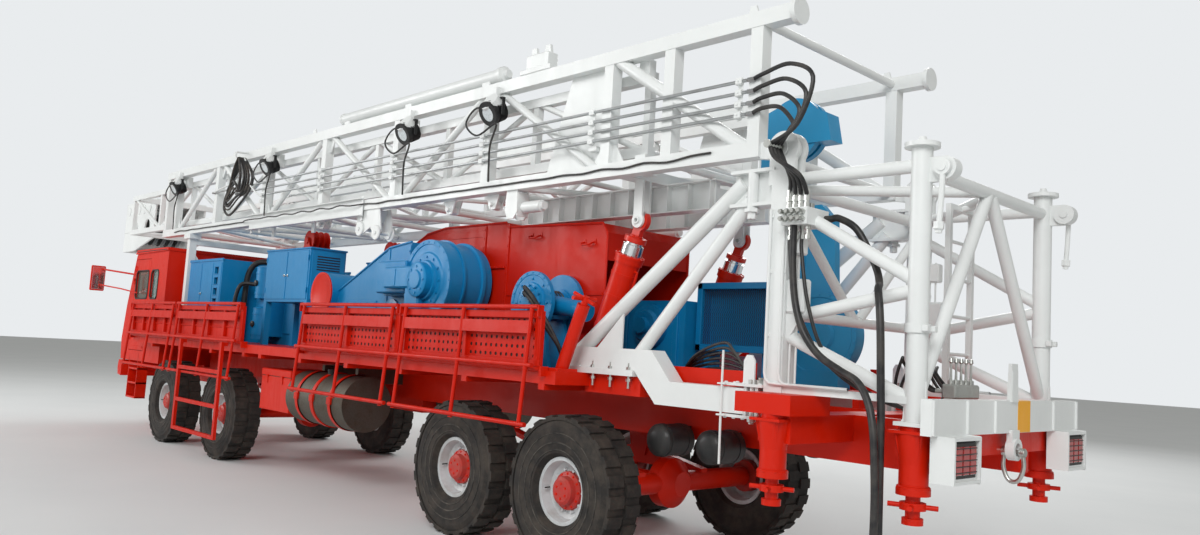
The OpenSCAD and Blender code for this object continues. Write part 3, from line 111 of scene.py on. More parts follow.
def close_surface(t, inputs):
    """The material's one surface, joined to its output."""
    shader = add_node(t, "ShaderNodeBsdfPrincipled", inputs)
    add_node(t, "ShaderNodeOutputMaterial", {"Surface": shader.outputs[0]})


# Poured concrete, sealed and pale; it shows as one even tone and keeps the shadow.
floor_mat, t, where = empty_material("sealed_concrete")
close_surface(t, {"Base Color": mixed(t, noise(t, where, 0.6, 6.0), "#d9dcdd", "#e4e6e6"), "Roughness": 0.75})
bpy.ops.mesh.primitive_plane_add(size=160)
floor = bpy.context.object
floor.name = "studio_floor"
floor.data.materials.append(floor_mat)

world = bpy.data.worlds.new("studio_sky")
bpy.context.scene.world = world
world.use_nodes = True
t = world.node_tree
t.nodes.clear()
rays = add_node(t, "ShaderNodeLightPath")
seen = maths(t, "MAXIMUM", rays.outputs["Is Camera Ray"], rays.outputs["Is Transmission Ray"])
lit = add_node(t, "ShaderNodeBackground", {"Color": linear("#e6e6e3"), "Strength": 0.50})
shown = add_node(t, "ShaderNodeBackground", {"Color": linear("#e9ecee"), "Strength": 1.0})
sky = add_node(t, "ShaderNodeMixShader", {0: seen, 1: lit.outputs[0], 2: shown.outputs[0]})
add_node(t, "ShaderNodeOutputWorld", {"Surface": sky.outputs[0]})

for name, place, aim, size, watts in (
    ("key", (-16, 16, 13), (-1, 0, 2), 9.0, 2600), ("fill", (13, 14, 8), (5, 0, 2), 9.0, 1500),
    ("back", (2, -15, 12), (0, 0, 2), 10.0, 1500),
):
    lamp = bpy.data.lights.new(name, "AREA")
    lamp.size = size
    lamp.energy = watts
    stand = bpy.data.objects.new(name, lamp)
    stand.location = place
    stand.rotation_euler = (Vector(aim) - Vector(place)).to_track_quat("-Z", "Y").to_euler()
    bpy.context.scene.collection.objects.link(stand)


# ---- Hoses --------------------------------------------------------------------------
# Black rubber hydraulic hoses, crimped at the manifold on the mast base. They hang over
# the base's tube and lie with their ends on the ground.
def remap(t, value, low, high, to_low, to_high):
    return add_node(t, "ShaderNodeMapRange", {0: value, 1: low, 2: high, 3: to_low, 4: to_high}).outputs[0]


def relief(t, height, strength, depth):
    """A bumped normal from a height, its depth in metres."""
    return add_node(t, "ShaderNodeBump", {"Height": height, "Strength": strength,
        "Distance": depth}).outputs[0]


def rubber(name, colour, sheen_rough=0.45, dust=0.25):
    """Moulded synthetic rubber: a soft grey sheen, paler where dust lies in its pores."""
    m, t, where = empty_material(name)
    cloud = noise(t, where, 7.0, 6.0, 0.65)
    close_surface(t, {
        "Base Color": mixed(t, remap(t, cloud, 0.42, 0.75, 0.0, dust), colour, "#8d857a"),
        "Roughness": remap(t, cloud, 0.3, 0.7, sheen_rough, sheen_rough + 0.25),
        "Normal": relief(t, noise(t, where, 160.0), 0.25, 0.001), "IOR": 1.52})
    return m


def smooth_route(points, steps):
    """Points on the smooth curve through given ones, as the part's source has it."""
    path = []
    for i in range(len(points) - 1):
        a, b = Vector(points[max(i - 1, 0)]), Vector(points[i])
        c, d = Vector(points[i + 1]), Vector(points[min(i + 2, len(points) - 1)])
        for k in range(steps):
            u = k / steps
            path.append((2 * b + (c - a) * u + (2 * a - 5 * b + 4 * c - d) * u ** 2
                + (3 * b - a - 3 * c + d) * u ** 3) / 2)
    path.append(Vector(points[-1]))
    return path


def sweep(bm, path, radius, sides=12):
    """A closed round tube along a path, its rings carried on without twist."""
    path = [Vector(p) for p in path]
    side = Vector((0.31, 0.83, 0.47))
    rings = []
    for i, p in enumerate(path):
        t = (path[min(i + 1, len(path) - 1)] - path[max(i - 1, 0)]).normalized()
        side = (side - side.dot(t) * t).normalized()
        other = t.cross(side)
        rings.append([bm.verts.new(p + radius * (math.cos(a) * side + math.sin(a) * other))
            for a in (2 * math.pi * k / sides for k in range(sides))])
    for one, two in zip(rings, rings[1:]):
        for k in range(sides):
            m = (k + 1) % sides
            bm.faces.new((one[k], one[m], two[m], two[k]))
    bm.faces.new(list(reversed(rings[0])))
    bm.faces.new(rings[-1])


def finish_piece(name, bm, material, body="carrier", sharp=35.0):
    """Turns mesh code into a piece that rides on a body."""
    bmesh.ops.recalc_face_normals(bm, faces=bm.faces)
    mesh = bpy.data.meshes.new(name)
    bm.to_mesh(mesh)
    bm.free()
    mesh.shade_smooth()
    mesh.set_sharp_from_angle(angle=math.radians(sharp))
    piece = bpy.data.objects.new(name, mesh)
    bpy.context.scene.collection.objects.link(piece)
    mesh.materials.append(material)
    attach(piece, body)
    return piece


def turned(bm, origin, axis, profile, sides=24, closed=False):
    """A lathe-turned solid: profile lists (distance along the axis, radius); closed makes a ring of it."""
    axis = Vector(axis).normalized()
    u = axis.orthogonal().normalized()
    w = axis.cross(u)
    rings = []
    for along, r in profile:
        c = Vector(origin) + along * axis
        if r < 1e-6:
            rings.append([bm.verts.new(c)])
        else:
            rings.append([bm.verts.new(c + r * (math.cos(a) * u + math.sin(a) * w))
                for a in (2 * math.pi * k / sides for k in range(sides))])
    for one, two in zip(rings, rings[1:] + (rings[:1] if closed else [])):
        for k in range(sides):
            m = (k + 1) % sides
            corners = [one[k % len(one)], one[m % len(one)], two[m % len(two)], two[k % len(two)]]
            corners = [v for i, v in enumerate(corners) if v not in corners[:i]]
            if len(corners) > 2:
                bm.faces.new(corners)
    for end in () if closed else (rings[0], rings[-1]):
        if len(end) > 1:
            bm.faces.new(end)


def rod(bm, origin, axis, length, r, sides=24):
    turned(bm, origin, axis, [(0, 0), (0, r), (length, r), (length, 0)], sides)


def hoop(bm, origin, axis, length, inner, outer, sides=24, closed=False):
    """A round band or collar; closed, with its inner wall too."""
    turned(bm, origin, axis, [(0, inner), (0, outer), (length, outer), (length, inner)], sides, closed)


def bare_metal(name, colour, rough=0.25, stain_share=0.15):
    """Machined or drawn steel left bare: bright, with brushed grain and brown stains."""
    m, t, where = empty_material(name)
    stained = remap(t, noise(t, where, 4.0, 7.0, 0.7), 0.48, 0.72, 0.0, stain_share)
    close_surface(t, {
        "Base Color": mixed(t, stained, colour, "#5a4a3c"), "Metallic": 1.0,
        "Roughness": remap(t, noise(t, where, 60.0, 4.0), 0.3, 0.7, rough, rough + 0.15)})
    return m


MID_X = 5.88
HOSE_D = 0.05
hose_rubber = rubber("hydraulic_hose_rubber", "#1c1c1e", 0.35, 0.2)
hose_steel = bare_metal("plated_hose_steel", "#a8a48f", 0.3, stain_share=0.4)
hose_routes = {
    "hose_1": [
        (-2.1403, 0.93, 2.79), (-2.19, 0.93, 2.79), (-2.25, 0.93, 2.79), (-2.38, 0.93, 2.715),
        (-2.48, 0.925, 2.56), (-2.55, 0.93, 2.42), (-2.6, 0.985, 2.325), (-2.64, 1.07, 2.285),
        (-2.69, 1.135, 2.16),
        (-2.715, 1.158, 1.98), (-2.725, 1.16, 1.75), (-2.735, 1.16, 1.5), (-2.738, 1.16, 1.25),
        (-2.74, 1.16, 1.0), (-2.745, 1.165, 0.75), (-2.75, 1.17, 0.5), (-2.765, 1.185, 0.28),
        (-2.81, 1.23, 0.1), (-2.9, 1.31, 0.03), (-3.05, 1.4, 0.027),
    ],
    "hose_2": [
        (-2.01, 1.12, 2.7297), (-2.01, 1.12, 2.66), (-2.01, 1.12, 2.6), (-2.02, 1.125, 2.4),
        (-2.055, 1.13, 2.18), (-2.13, 1.138, 1.99), (-2.26, 1.142, 1.84), (-2.42, 1.148, 1.75),
        (-2.57, 1.17, 1.68), (-2.67, 1.208, 1.56), (-2.725, 1.234, 1.4), (-2.745, 1.24, 1.2),
        (-2.755, 1.24, 0.98),
        (-2.755, 1.242, 0.75), (-2.75, 1.245, 0.5), (-2.735, 1.258, 0.28), (-2.69, 1.3, 0.1),
        (-2.59, 1.37, 0.03), (-2.44, 1.43, 0.027),
    ],
}
for cord_name, stations in hose_routes.items():
    path = smooth_route([(x - MID_X, y, z) for x, y, z in stations], 6)
    bm = bmesh.new()
    sweep(bm, path, HOSE_D / 2, 14)
    hose = finish_piece(cord_name + "_rubber", bm, hose_rubber, "carrier", 60)
    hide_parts(cord_name)
    # Ferrule crimped on the free end, with its swivel nut and the open bore.
    bm = bmesh.new()
    end, heading = path[-1], (path[-1] - path[-2]).normalized()
    turned(bm, end, heading, [
        (-0.1, HOSE_D / 2), (-0.1, 0.0266), (-0.012, 0.0266), (-0.006, 0.022), (0.004, 0.022),
        (0.004, 0.0268),
        (0.04, 0.0268), (0.044, 0.024), (0.044, 0.016), (0.01, 0.016), (0.01, 0.0)], 12)
    coupling = finish_piece(cord_name + "_coupling", bm, hose_steel)


# ---- Paint on the steelwork ---------------------------------------------------------
# Two-pack enamel, sprayed: signal red on the carrier, white on the mast, blue on the
# machinery. It is glossy where wiped, dull where dust lies on ledges and ran with rain.
def enamel(name, colour, dust=0.3, rough=0.32, dust_colour="#9c958a", shine=0.5):
    m, t, where = empty_material(name)
    deep = tuple(c * 0.78 for c in linear(colour)[:3]) + (1.0,)
    stretched = add_node(t, "ShaderNodeMapping", {"Vector": where, "Scale": (7.0, 7.0, 0.9)}).outputs[0]
    runs = remap(t, noise(t, stretched, 1.0, 7.0, 0.7), 0.46, 0.72, 0.0, 1.0)
    smudges = remap(t, noise(t, where, 5.5, 8.0, 0.72), 0.44, 0.74, 0.0, 1.0)
    dull = maths(t, "MAXIMUM", runs, smudges)
    facing = add_node(t, "ShaderNodeSeparateXYZ", {0: add_node(t, "ShaderNodeNewGeometry").outputs["Normal"]})
    height = add_node(t, "ShaderNodeSeparateXYZ", {0: where})
    ledge = remap(t, facing.outputs["Z"], 0.35, 0.95, 0.25, 1.0)
    low = remap(t, height.outputs["Z"], 0.5, 1.7, 1.0, 0.35)
    laid = maths(t, "MULTIPLY", maths(t, "MULTIPLY", dull, ledge), low)
    coat = mixed(t, noise(t, where, 0.9, 5.0, 0.6), deep, colour)
    close_surface(t, {
        "Base Color": mixed(t, maths(t, "MULTIPLY", laid, dust, use_clamp=True), coat, dust_colour),
        "Roughness": remap(t, dull, 0.0, 1.0, rough, min(rough + 0.3, 0.9)),
        "Normal": relief(t, noise(t, where, 55.0), 0.12, 0.002),
        "IOR": 1.45, "Specular IOR Level": shine, "Coat Weight": 0.2 * shine, "Coat Roughness": 0.15})
    return m


red_enamel = enamel("signal_red_enamel", "#db2003", dust=0.12, dust_colour="#8e5c48", shine=0.25)
panel_enamel = enamel("panel_red_enamel", "#d31c02", dust=0.1, rough=0.4, dust_colour="#8e5c48", shine=0.22)
white_enamel = enamel("mast_white_enamel", "#eef1f0", dust=0.35, rough=0.28, dust_colour="#a9a59c")
blue_enamel = enamel("machine_blue_enamel", "#0a86c2", dust=0.22, dust_colour="#7f8e96", shine=0.4)
bright_blue_enamel = enamel("case_blue_enamel", "#1f93c6", dust=0.3)
black_enamel = enamel("chassis_black_enamel", "#1b1c1e", dust=0.5, rough=0.45)
tank_steel = bare_metal("tank_rolled_steel", "#6b675f", 0.55, stain_share=0.6)
chrome = bare_metal("hard_chrome", "#dfe2e4", 0.08, stain_share=0.05)
cast_steel = bare_metal("turned_cast_steel", "#77797b", 0.35, stain_share=0.4)
seat_fabric, t, where = empty_material("seat_woven_fabric")
close_surface(t, {"Base Color": mixed(t, noise(t, where, 220.0), "#17181a", "#2b2d30"), "Roughness": 0.85,
    "Sheen Weight": 0.2})

# Toughened cab glass, 6 mm, with the faint green of float glass.
cab_glass, t, where = empty_material("toughened_float_glass")
close_surface(t, {
    "Base Color": linear("#b9cdc9"), "Roughness": remap(t, noise(t, where, 6.0, 6.0), 0.4, 0.7, 0.02, 0.12),
    "IOR": 1.5, "Transmission Weight": 0.9})


def repaint(node, material):
    """Gives a CAD node one material in every slot."""
    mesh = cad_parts[node].data
    if not mesh.materials:
        mesh.materials.append(material)
    for i in range(len(mesh.materials)):
        mesh.materials[i] = material


finish_of = {
    red_enamel: [
        "chassis", "deck", "front_axles", "rear_axles", "cab_shell", "door_left", "door_right", "stowed_jack",
        "knuckle_l1", "knuckle_r1", "knuckle_l2", "knuckle_r2", "raise_barrels",
        "jack_mid_left", "jack_mid_right", "jack_rear_left", "jack_rear_right",
    ],
    panel_enamel: [
        "drawworks_guard", "walkway_front_left", "walkway_rear_left", "walkway_front_right",
        "walkway_rear_right",
        "handrail_front_left", "handrail_rear_left", "handrail_front_right", "handrail_rear_right",
    ],
    white_enamel: ["rear_beam", "mast_base", "mast_rest", "mast_outer", "mast_fittings", "mast_inner"],
    blue_enamel: ["engine", "radiator", "cabinet", "chain_case", "drawworks_frame", "drum", "cooler"],
    bright_blue_enamel: ["drum_case", "travelling_block"],
    black_enamel: ["air_tanks"],
    tank_steel: ["fuel_tank"],
    chrome: ["raise_stages_1", "raise_stages_2", "raise_rods"],
    cast_steel: ["crown_sheaves"],
    seat_fabric: ["cab_interior"],
    cab_glass: ["cab_glass"],
}
for material, nodes in finish_of.items():
    for node in nodes:
        repaint(node, material)


# ---- Wheels -------------------------------------------------------------------------
# Cross-country tyres of natural rubber, moulded, brown with dried mud; a welded rim in
# grey-white paint, and a cast hub with planet gears, painted red.
RIM_R, HUB_R, WHEEL_Z, WHEEL_Y = 0.2775, 0.158, 0.62, 1.2
axle_of = {"1": 9.16, "2": 7.04, "3": 1.5, "4": 0.0}


def wheel_finish(name, x):
    """Rubber, rim paint and hub paint in one material, told apart by distance from the axle."""
    m, t, where = empty_material(name)
    centred = add_node(t, "ShaderNodeMapping",
        {"Vector": where, "Location": (-x, 0.0, -WHEEL_Z), "Scale": (1.0, 0.0, 1.0)}).outputs[0]
    away = add_node(t, "ShaderNodeVectorMath", {0: centred}, operation="LENGTH").outputs["Value"]
    is_rubber = maths(t, "GREATER_THAN", away, RIM_R)
    cloud = noise(t, where, 5.0, 8.0, 0.7)
    film = remap(t, cloud, 0.45, 0.75, 0.05, 0.6)
    rubber_tone = mixed(t, remap(t, cloud, 0.42, 0.72, 0.05, 0.6), "#1b1918", "#574d43")
    rim_tone, hub_tone = mixed(t, film, "#c9cdcf", "#8a7f72"), mixed(t, film, "#bb2219", "#7c5a4c")
    metal = mixed(t, maths(t, "LESS_THAN", away, HUB_R), rim_tone, hub_tone)
    close_surface(t, {
        "Base Color": mixed(t, is_rubber, metal, rubber_tone),
        "Roughness": remap(t, is_rubber, 0.0, 1.0, 0.42, 0.82),
        "Normal": relief(t, noise(t, where, 90.0, 4.0), 0.3, 0.003), "IOR": 1.5})
    return m


for number, axle_x in axle_of.items():
    finish = wheel_finish("wheel_finish_" + number, axle_x - MID_X)
    for side in "lr":
        repaint("wheel_" + side + number, finish)


# ---- Mast: hydraulic lines, brackets and floodlights ---------------------------------
# Four lines of drawn steel tube run along the outer section's near side in clamps, and rubber
# whips join them to the base. Cast-iron clamps and steel brackets, painted with the mast.
def at(x, y, z):
    """A point from its station behind or before the rearmost axle, in metres."""
    return Vector((x - MID_X, y, z))


def run_hose(bm, radius, sides, stations, steps):
    """A hose or cable along the smooth curve through given stations."""
    sweep(bm, smooth_route([at(*p) for p in stations], steps), radius, sides)


def about(middle, half):
    """The span that reaches as far to both sides of its middle."""
    return middle - half, middle + half


def plate(bm, xs, ys, zs, bevel=0.004):
    """A flat or square piece with eased edges, from its spans in stations, width and height."""
    low, high = (at(xs[i], ys[i], zs[i]) for i in (0, 1))
    made = bmesh.ops.create_cube(bm, size=1.0,
        matrix=Matrix.Translation((low + high) / 2) @ Matrix.Diagonal((*(high - low), 1.0)))
    edges = {e for v in made["verts"] for e in v.link_edges}
    bevel = min(bevel, 0.3 * min(high - low))
    bmesh.ops.bevel(bm, geom=list(edges), offset=bevel, segments=1, affect="EDGES")


def slab(bm, outline, ys):
    """A flat-cut plate: an outline of (x, z) stations, thick over the span ys."""
    near, far = ([bm.verts.new(at(x, y, z)) for x, z in outline] for y in ys)
    bm.faces.new(near)
    bm.faces.new(list(reversed(far)))
    for k in range(len(outline)):
        m = (k + 1) % len(outline)
        bm.faces.new((near[k], far[k], far[m], near[m]))


MAST_Y, CHORD_HALF, POST_FACE = 1.01, 0.06, 1.065
MAST_TOP, MAST_LOW, CHORD_TOP = 4.326, 3.33, 4.386
MAST_STATIONS = [-1.58, -0.71] + [i * 1.73 for i in range(7)]
LINE_HEIGHTS, LINE_Y, LINE_R = (3.6, 3.68, 3.77, 3.86), 1.084, 0.0135
line_steel = bare_metal("phosphated_line_steel", "#b9bcbd", 0.32, stain_share=0.35)
bm = bmesh.new()
for i, z in enumerate(LINE_HEIGHTS):
    sweep(bm, [at(-1.52, LINE_Y, z), at(2.0, LINE_Y, z), at(6.0 + 0.9 * i, LINE_Y, z)], LINE_R, 10)
    for x in (-1.56, 6.0 + 0.9 * i):
        turned(bm, at(x, LINE_Y, z), (1, 0, 0), [(-0.03, 0.0), (-0.03, 0.019), (0.03, 0.019), (0.03, 0.0)], 6)
finish_piece("mast_hydraulic_lines", bm, line_steel, "mast")

bm = bmesh.new()
for x in (-1.45, 0.16, 1.76, 3.46, 5.19, 6.92):
    plate(bm, about(x, 0.02), (POST_FACE - 0.002, POST_FACE + 0.004),
        (LINE_HEIGHTS[0] - 0.04, LINE_HEIGHTS[-1] + 0.04), 0.001)
    for z in LINE_HEIGHTS[:4 if x < 6 else 2]:
        plate(bm, about(x, 0.03), (POST_FACE, LINE_Y + 0.022), about(z, 0.026), 0.006)
        turned(bm, at(x, LINE_Y + 0.02, z), (0, 1, 0), [(0, 0.008), (0.008, 0.008), (0.008, 0.0)], 6)
    if x == 0.16:
        plate(bm, about(x, 0.05), (1.0, POST_FACE), (LINE_HEIGHTS[0] - 0.08, LINE_HEIGHTS[0] - 0.04), 0.004)
finish_piece("mast_line_clamps", bm, white_enamel, "mast")

# Rubber whips loop from the lines' ends to swivel unions on the pivot's axis, so that the
# mast may turn; shorter ones lead from the unions down to the manifold.
PIVOT_X, PIVOT_Z = -1.86, 3.3
MANIFOLD_TOP = 2.85
mast_bm, base_bm = bmesh.new(), bmesh.new()
for i, z in enumerate(LINE_HEIGHTS):
    y = 1.128 + 0.036 * i
    reach = 0.075 * i
    run_hose(mast_bm, 0.016, 10, [(-1.58, LINE_Y, z), (-1.68, LINE_Y + 0.012, z + 0.02),
        (-1.84 - reach / 2, (LINE_Y + y) / 2, z + 0.12 * reach), (-1.97 - reach, y, z - 0.13),
        (-1.95 - 0.6 * reach, y, 3.42), (PIVOT_X, y, PIVOT_Z)], 7)
    foot_x = -1.965 - 0.048 * i
    run_hose(base_bm, 0.016, 10, [(PIVOT_X, y, PIVOT_Z), (PIVOT_X - 0.05, y, PIVOT_Z - 0.1),
        (foot_x, y - 0.01, PIVOT_Z - 0.24), (foot_x, 1.12, MANIFOLD_TOP + 0.09)], 7)
finish_piece("mast_line_whips", mast_bm, hose_rubber, "mast")
finish_piece("manifold_whips", base_bm, hose_rubber)

# Floodlights: die-cast housings with cooling fins, a pressed bezel and a glass front.
lamp_glass, t, where = empty_material("lamp_front_glass")
close_surface(t, {"Base Color": mixed(t, noise(t, where, 60.0), "#aab4b8", "#e8eef0"), "Roughness": 0.08,
    "IOR": 1.5, "Coat Weight": 1.0})
housing_black = enamel("lamp_powder_coat", "#151618", dust=0.25, rough=0.42)
lamp_bm, glass_bm = bmesh.new(), bmesh.new()
LAMP_TILT = Vector((0.0, math.sin(math.radians(60)), -math.cos(math.radians(60))))
FLOODLIGHT_X = (1.56, 3.12, 6.66, 10.17)
for x in FLOODLIGHT_X:
    root = at(x, MAST_Y + 0.062, 4.1)
    turned(lamp_bm, root, LAMP_TILT, [(-0.03, 0.0), (-0.03, 0.07), (0.0, 0.108), (0.118, 0.11),
        (0.118, 0.124), (0.142, 0.124), (0.142, 0.096), (0.132, 0.0)], 28)
    for k in range(9):
        hoop(lamp_bm, root + (0.011 * k - 0.028) * LAMP_TILT, LAMP_TILT, 0.005, 0.09, 0.117, 28)
    turned(glass_bm, root, LAMP_TILT, [(0.134, 0.0), (0.134, 0.094), (0.139, 0.09), (0.143, 0.0)], 28)
    for side in (-1, 1):
        plate(lamp_bm, (x + side * 0.128 - 0.004, x + side * 0.128 + 0.004), (MAST_Y + 0.075, MAST_Y + 0.115),
            (4.03, 4.2), 0.002)
    plate(lamp_bm, about(x, 0.132), (MAST_Y + 0.075, MAST_Y + 0.115), (4.196, 4.206), 0.002)
finish_piece("floodlight_housings", lamp_bm, housing_black, "mast")
finish_piece("floodlight_glasses", glass_bm, lamp_glass, "mast")


# ---- Mast: raising-end girder, foot brackets and the crown's fittings -----------------
# Plate girders with welded ribs under the outer section carry its equipment; the brackets
# and rollers are profile-cut plate with turned pins, all painted white with the mast.
def ribbed_girder(bm, x0, x1, y, low, high, ribs):
    """Web with flanges and upright ribs, welded from plate."""
    plate(bm, (x0, x1), about(y, 0.006), (low, high), 0.001)
    plate(bm, (x0, x1), about(y, 0.075), (high - 0.012, high), 0.002)
    plate(bm, (x0, x1), about(y, 0.075), (low, low + 0.012), 0.002)
    for k in range(ribs):
        x = x0 + 0.02 + (x1 - x0 - 0.04) * k / (ribs - 1)
        plate(bm, about(x, 0.005), about(y, 0.068), (low + 0.012, high - 0.012), 0.001)


bm = bmesh.new()
for y in (0.4, -0.4):
    ribbed_girder(bm, -0.72, 1.74, y, 3.035, 3.292, 11)
for x in (-0.71, 1.73):
    plate(bm, about(x, 0.05), (-0.46, 0.46), (3.285, 3.3), 0.003)
for x in (4.4, 5.6, 6.8):
    plate(bm, about(x, 0.045), (0.9, 0.925), (3.1, 3.272), 0.004)
plate(bm, (4.05, 7.25), (1.071, 1.135), (3.195, 3.207), 0.003)
plate(bm, (4.05, 7.25), (1.078, 1.086), (3.207, 3.395), 0.001)
plate(bm, (4.05, 7.25), (1.071, 1.135), (3.395, 3.407), 0.003)
for x in (4.1, 5.19, 6.92, 7.2):
    plate(bm, about(x, 0.03), (1.066, 1.074), (3.15, 3.44), 0.002)
finish_piece("mast_ribbed_girders", bm, white_enamel, "mast")

bm = bmesh.new()
for x in (1.7, 2.45, 5.3):
    for side in (-1, 1):
        for y in (0.86, 0.94):
            slab(bm, [(x - 0.11, 3.275), (x + 0.11, 3.275), (x + 0.045, 3.13), (x - 0.045, 3.13)],
                (side * y, side * (y + 0.014)))
        rod(bm, at(x, side * 0.84, 3.175), (0, side, 0), 0.15, 0.022, 16)
        hoop(bm, at(x, side * 0.876, 3.175), (0, side, 0), 0.06, 0.024, 0.05, 20)
for side in (-1, 1):
    # Gusseted bracket with a long roller, and the hung bracket with its two guide wheels.
    for y in (0.905, 1.035):
        slab(bm, [(1.36, 3.275), (1.2, 3.275), (1.185, 3.06), (1.24, 2.995), (1.33, 2.995), (1.375, 3.08)],
            about(side * y, 0.008))
    plate(bm, (1.19, 1.205), about(side * 0.97, 0.065), (3.02, 3.25), 0.002)
    turned(bm, at(1.21, side * 0.97, 3.105), (-1, 0, 0),
        [(0, 0.0), (0, 0.034), (0.05, 0.034), (0.055, 0.056), (0.31, 0.056), (0.315, 0.04), (0.345, 0.04),
        (0.345, 0.0)], 24)
    for y in (0.9, 1.045):
        slab(bm, [(4.24, 3.275), (3.72, 3.275), (3.66, 3.02), (3.72, 2.93), (3.8, 2.93), (3.9, 3.06),
            (4.06, 2.99), (4.15, 3.0), (4.22, 3.08)], about(side * y, 0.006))
    slab(bm, [(4.18, 3.26), (3.78, 3.26), (3.86, 3.12), (4.1, 3.12)], about(side * 0.97, 0.065))
    for x, z in ((3.745, 2.985), (4.13, 3.05)):
        for y in (0.875, 1.06):
            turned(bm, at(x, side * y - 0.012, z), (0, 1, 0),
                [(0, 0.022), (0, 0.08), (0.008, 0.088), (0.016, 0.088), (0.024, 0.08), (0.024, 0.022)], 28,
                True)
        rod(bm, at(x, side * 0.968 - 0.115, z), (0, 1, 0), 0.23, 0.02, 14)
finish_piece("mast_roller_brackets", bm, white_enamel, "mast")

# Fixture on the near upper chord: a welded box with eyes, and its round cap ends.
bm = bmesh.new()
plate(bm, (0.8, 1.24), (MAST_Y - 0.1, MAST_Y + 0.07), (CHORD_TOP, CHORD_TOP + 0.05), 0.006)
plate(bm, (0.86, 1.18), (MAST_Y - 0.09, MAST_Y + 0.05), (CHORD_TOP + 0.045, CHORD_TOP + 0.19), 0.012)
for x in (0.92, 1.12):
    slab(bm, [(x - 0.05, CHORD_TOP + 0.18), (x + 0.05, CHORD_TOP + 0.18), (x + 0.03, CHORD_TOP + 0.27),
        (x - 0.03, CHORD_TOP + 0.27)], (MAST_Y - 0.03, MAST_Y))
for x in (-1.5, 3.0, 5.6, 8.2):
    for y in (-MAST_Y, MAST_Y):
        slab(bm, [(x - 0.05, CHORD_TOP - 0.002), (x + 0.05, CHORD_TOP - 0.002),
            (x + 0.026, CHORD_TOP + 0.075), (x - 0.026, CHORD_TOP + 0.075)], about(y, 0.009))
for x0 in (1.58, 4.78):
    turned(bm, at(x0, MAST_Y, CHORD_TOP + 0.09), (1 if x0 > 2 else -1, 0, 0),
        [(0.0, 0.0), (0.0, 0.078), (0.03, 0.078), (0.045, 0.05), (0.085, 0.04), (0.085, 0.0)], 24)
finish_piece("mast_chord_fixture", bm, white_enamel, "mast")

# Gusset plates where diagonals meet the chords, cut from 12 mm plate and welded on.
GUSSET_HALF = 0.2
bm = bmesh.new()
for i, x in enumerate(MAST_STATIONS[2:]):
    joins_low = i % 2 == 0
    z = MAST_LOW + CHORD_HALF if joins_low else MAST_TOP - CHORD_HALF
    s = 1 if joins_low else -1
    for y in (-MAST_Y - 0.006, MAST_Y - 0.006):
        slab(bm, [(x - GUSSET_HALF, z - s * 0.01), (x + GUSSET_HALF, z - s * 0.01), (x + 0.09, z + s * 0.17),
            (x - 0.09, z + s * 0.17)], (y, y + 0.012))
finish_piece("mast_gusset_plates", bm, white_enamel, "mast")

# The lighting cable clipped under the lower chord, and the lamps' slack leads: rubber sheathed.
bm = bmesh.new()
cable = [at(-1.2, MAST_Y + 0.071, 3.345)]
for k in range(46):
    x = -1.0 + k * 0.25
    cable.append(at(x, MAST_Y + 0.071 + (0.07 if 4.0 < x < 7.3 else 0.0),
        3.342 - 0.01 * (k % 2) - 0.014 * math.sin(1.7 * k) ** 2))
sweep(bm, smooth_route(cable, 3), 0.009, 8)
for x in FLOODLIGHT_X:
    run_hose(bm, 0.01, 8, [(x, 1.12, 4.07), (x + 0.22, 1.17, 4.13), (x + 0.36, 1.19, 3.98),
        (x + 0.17, 1.18, 3.84), (x - 0.1, 1.16, 3.93), (x - 0.03, 1.16, 3.72), (x - 0.02, 1.15, 3.5),
        (x - 0.03, 1.15, 3.36)], 6)
finish_piece("mast_lower_cable", bm, hose_rubber, "mast")

# Service loops of the crown's hoses and cables, hung from a hook on the upper chord.
HOOK_X = 7.56
old_rubber = rubber("weathered_hose_rubber", "#2a211d", 0.5, 0.45)
for name, strands, strand_r, material in (("mast_service_hoses", (0, 2, 4, 6, 7), 0.017, hose_rubber),
        ("mast_service_cables", (1, 3, 5, 8), 0.012, old_rubber)):
    bm = bmesh.new()
    for k in strands:
        wide, low, y = 0.52 - 0.045 * k, 3.46 + 0.055 * (k % 4) + 0.03 * k, 1.105 + 0.013 * k
        lean = 0.03 * math.sin(2.4 * k)
        run_hose(bm, strand_r, 8, [(HOOK_X, y, 4.27), (7.64 + 0.25 * wide, y + 0.01, 4.08),
            (7.6 + wide + lean, y, 3.8), (7.66 + wide, y, 3.58 + 0.02 * k), (7.78 + 0.35 * wide, y, low),
            (7.66 - 0.05 * wide, y + 0.008, low + 0.12 + lean), (7.58 - 0.5 * wide, y, 3.78),
            (7.55 - 0.62 * wide - lean, y, 3.98), (7.54 - 0.2 * wide, y, 4.18), (HOOK_X, y, 4.27)], 6)
    finish_piece(name, bm, material, "mast")
bm = bmesh.new()
sweep(bm, [at(HOOK_X, 1.068, 4.36), at(HOOK_X, 1.12, 4.35), at(HOOK_X, 1.235, 4.345), at(HOOK_X, 1.25, 4.3),
    at(HOOK_X, 1.235, 4.255)], 0.014, 8)
for i, z in enumerate(LINE_HEIGHTS[1:]):
    run_hose(bm, 0.012, 8, [(6.9 + 0.9 * i, LINE_Y, z), (7.05 + 0.7 * i, 1.1, z + 0.03),
        (7.4 + 0.25 * i, 1.12, 3.95), (7.5, 1.13, 4.2), (HOOK_X, 1.13, 4.27)], 6)
finish_piece("mast_service_hook", bm, white_enamel, "mast")


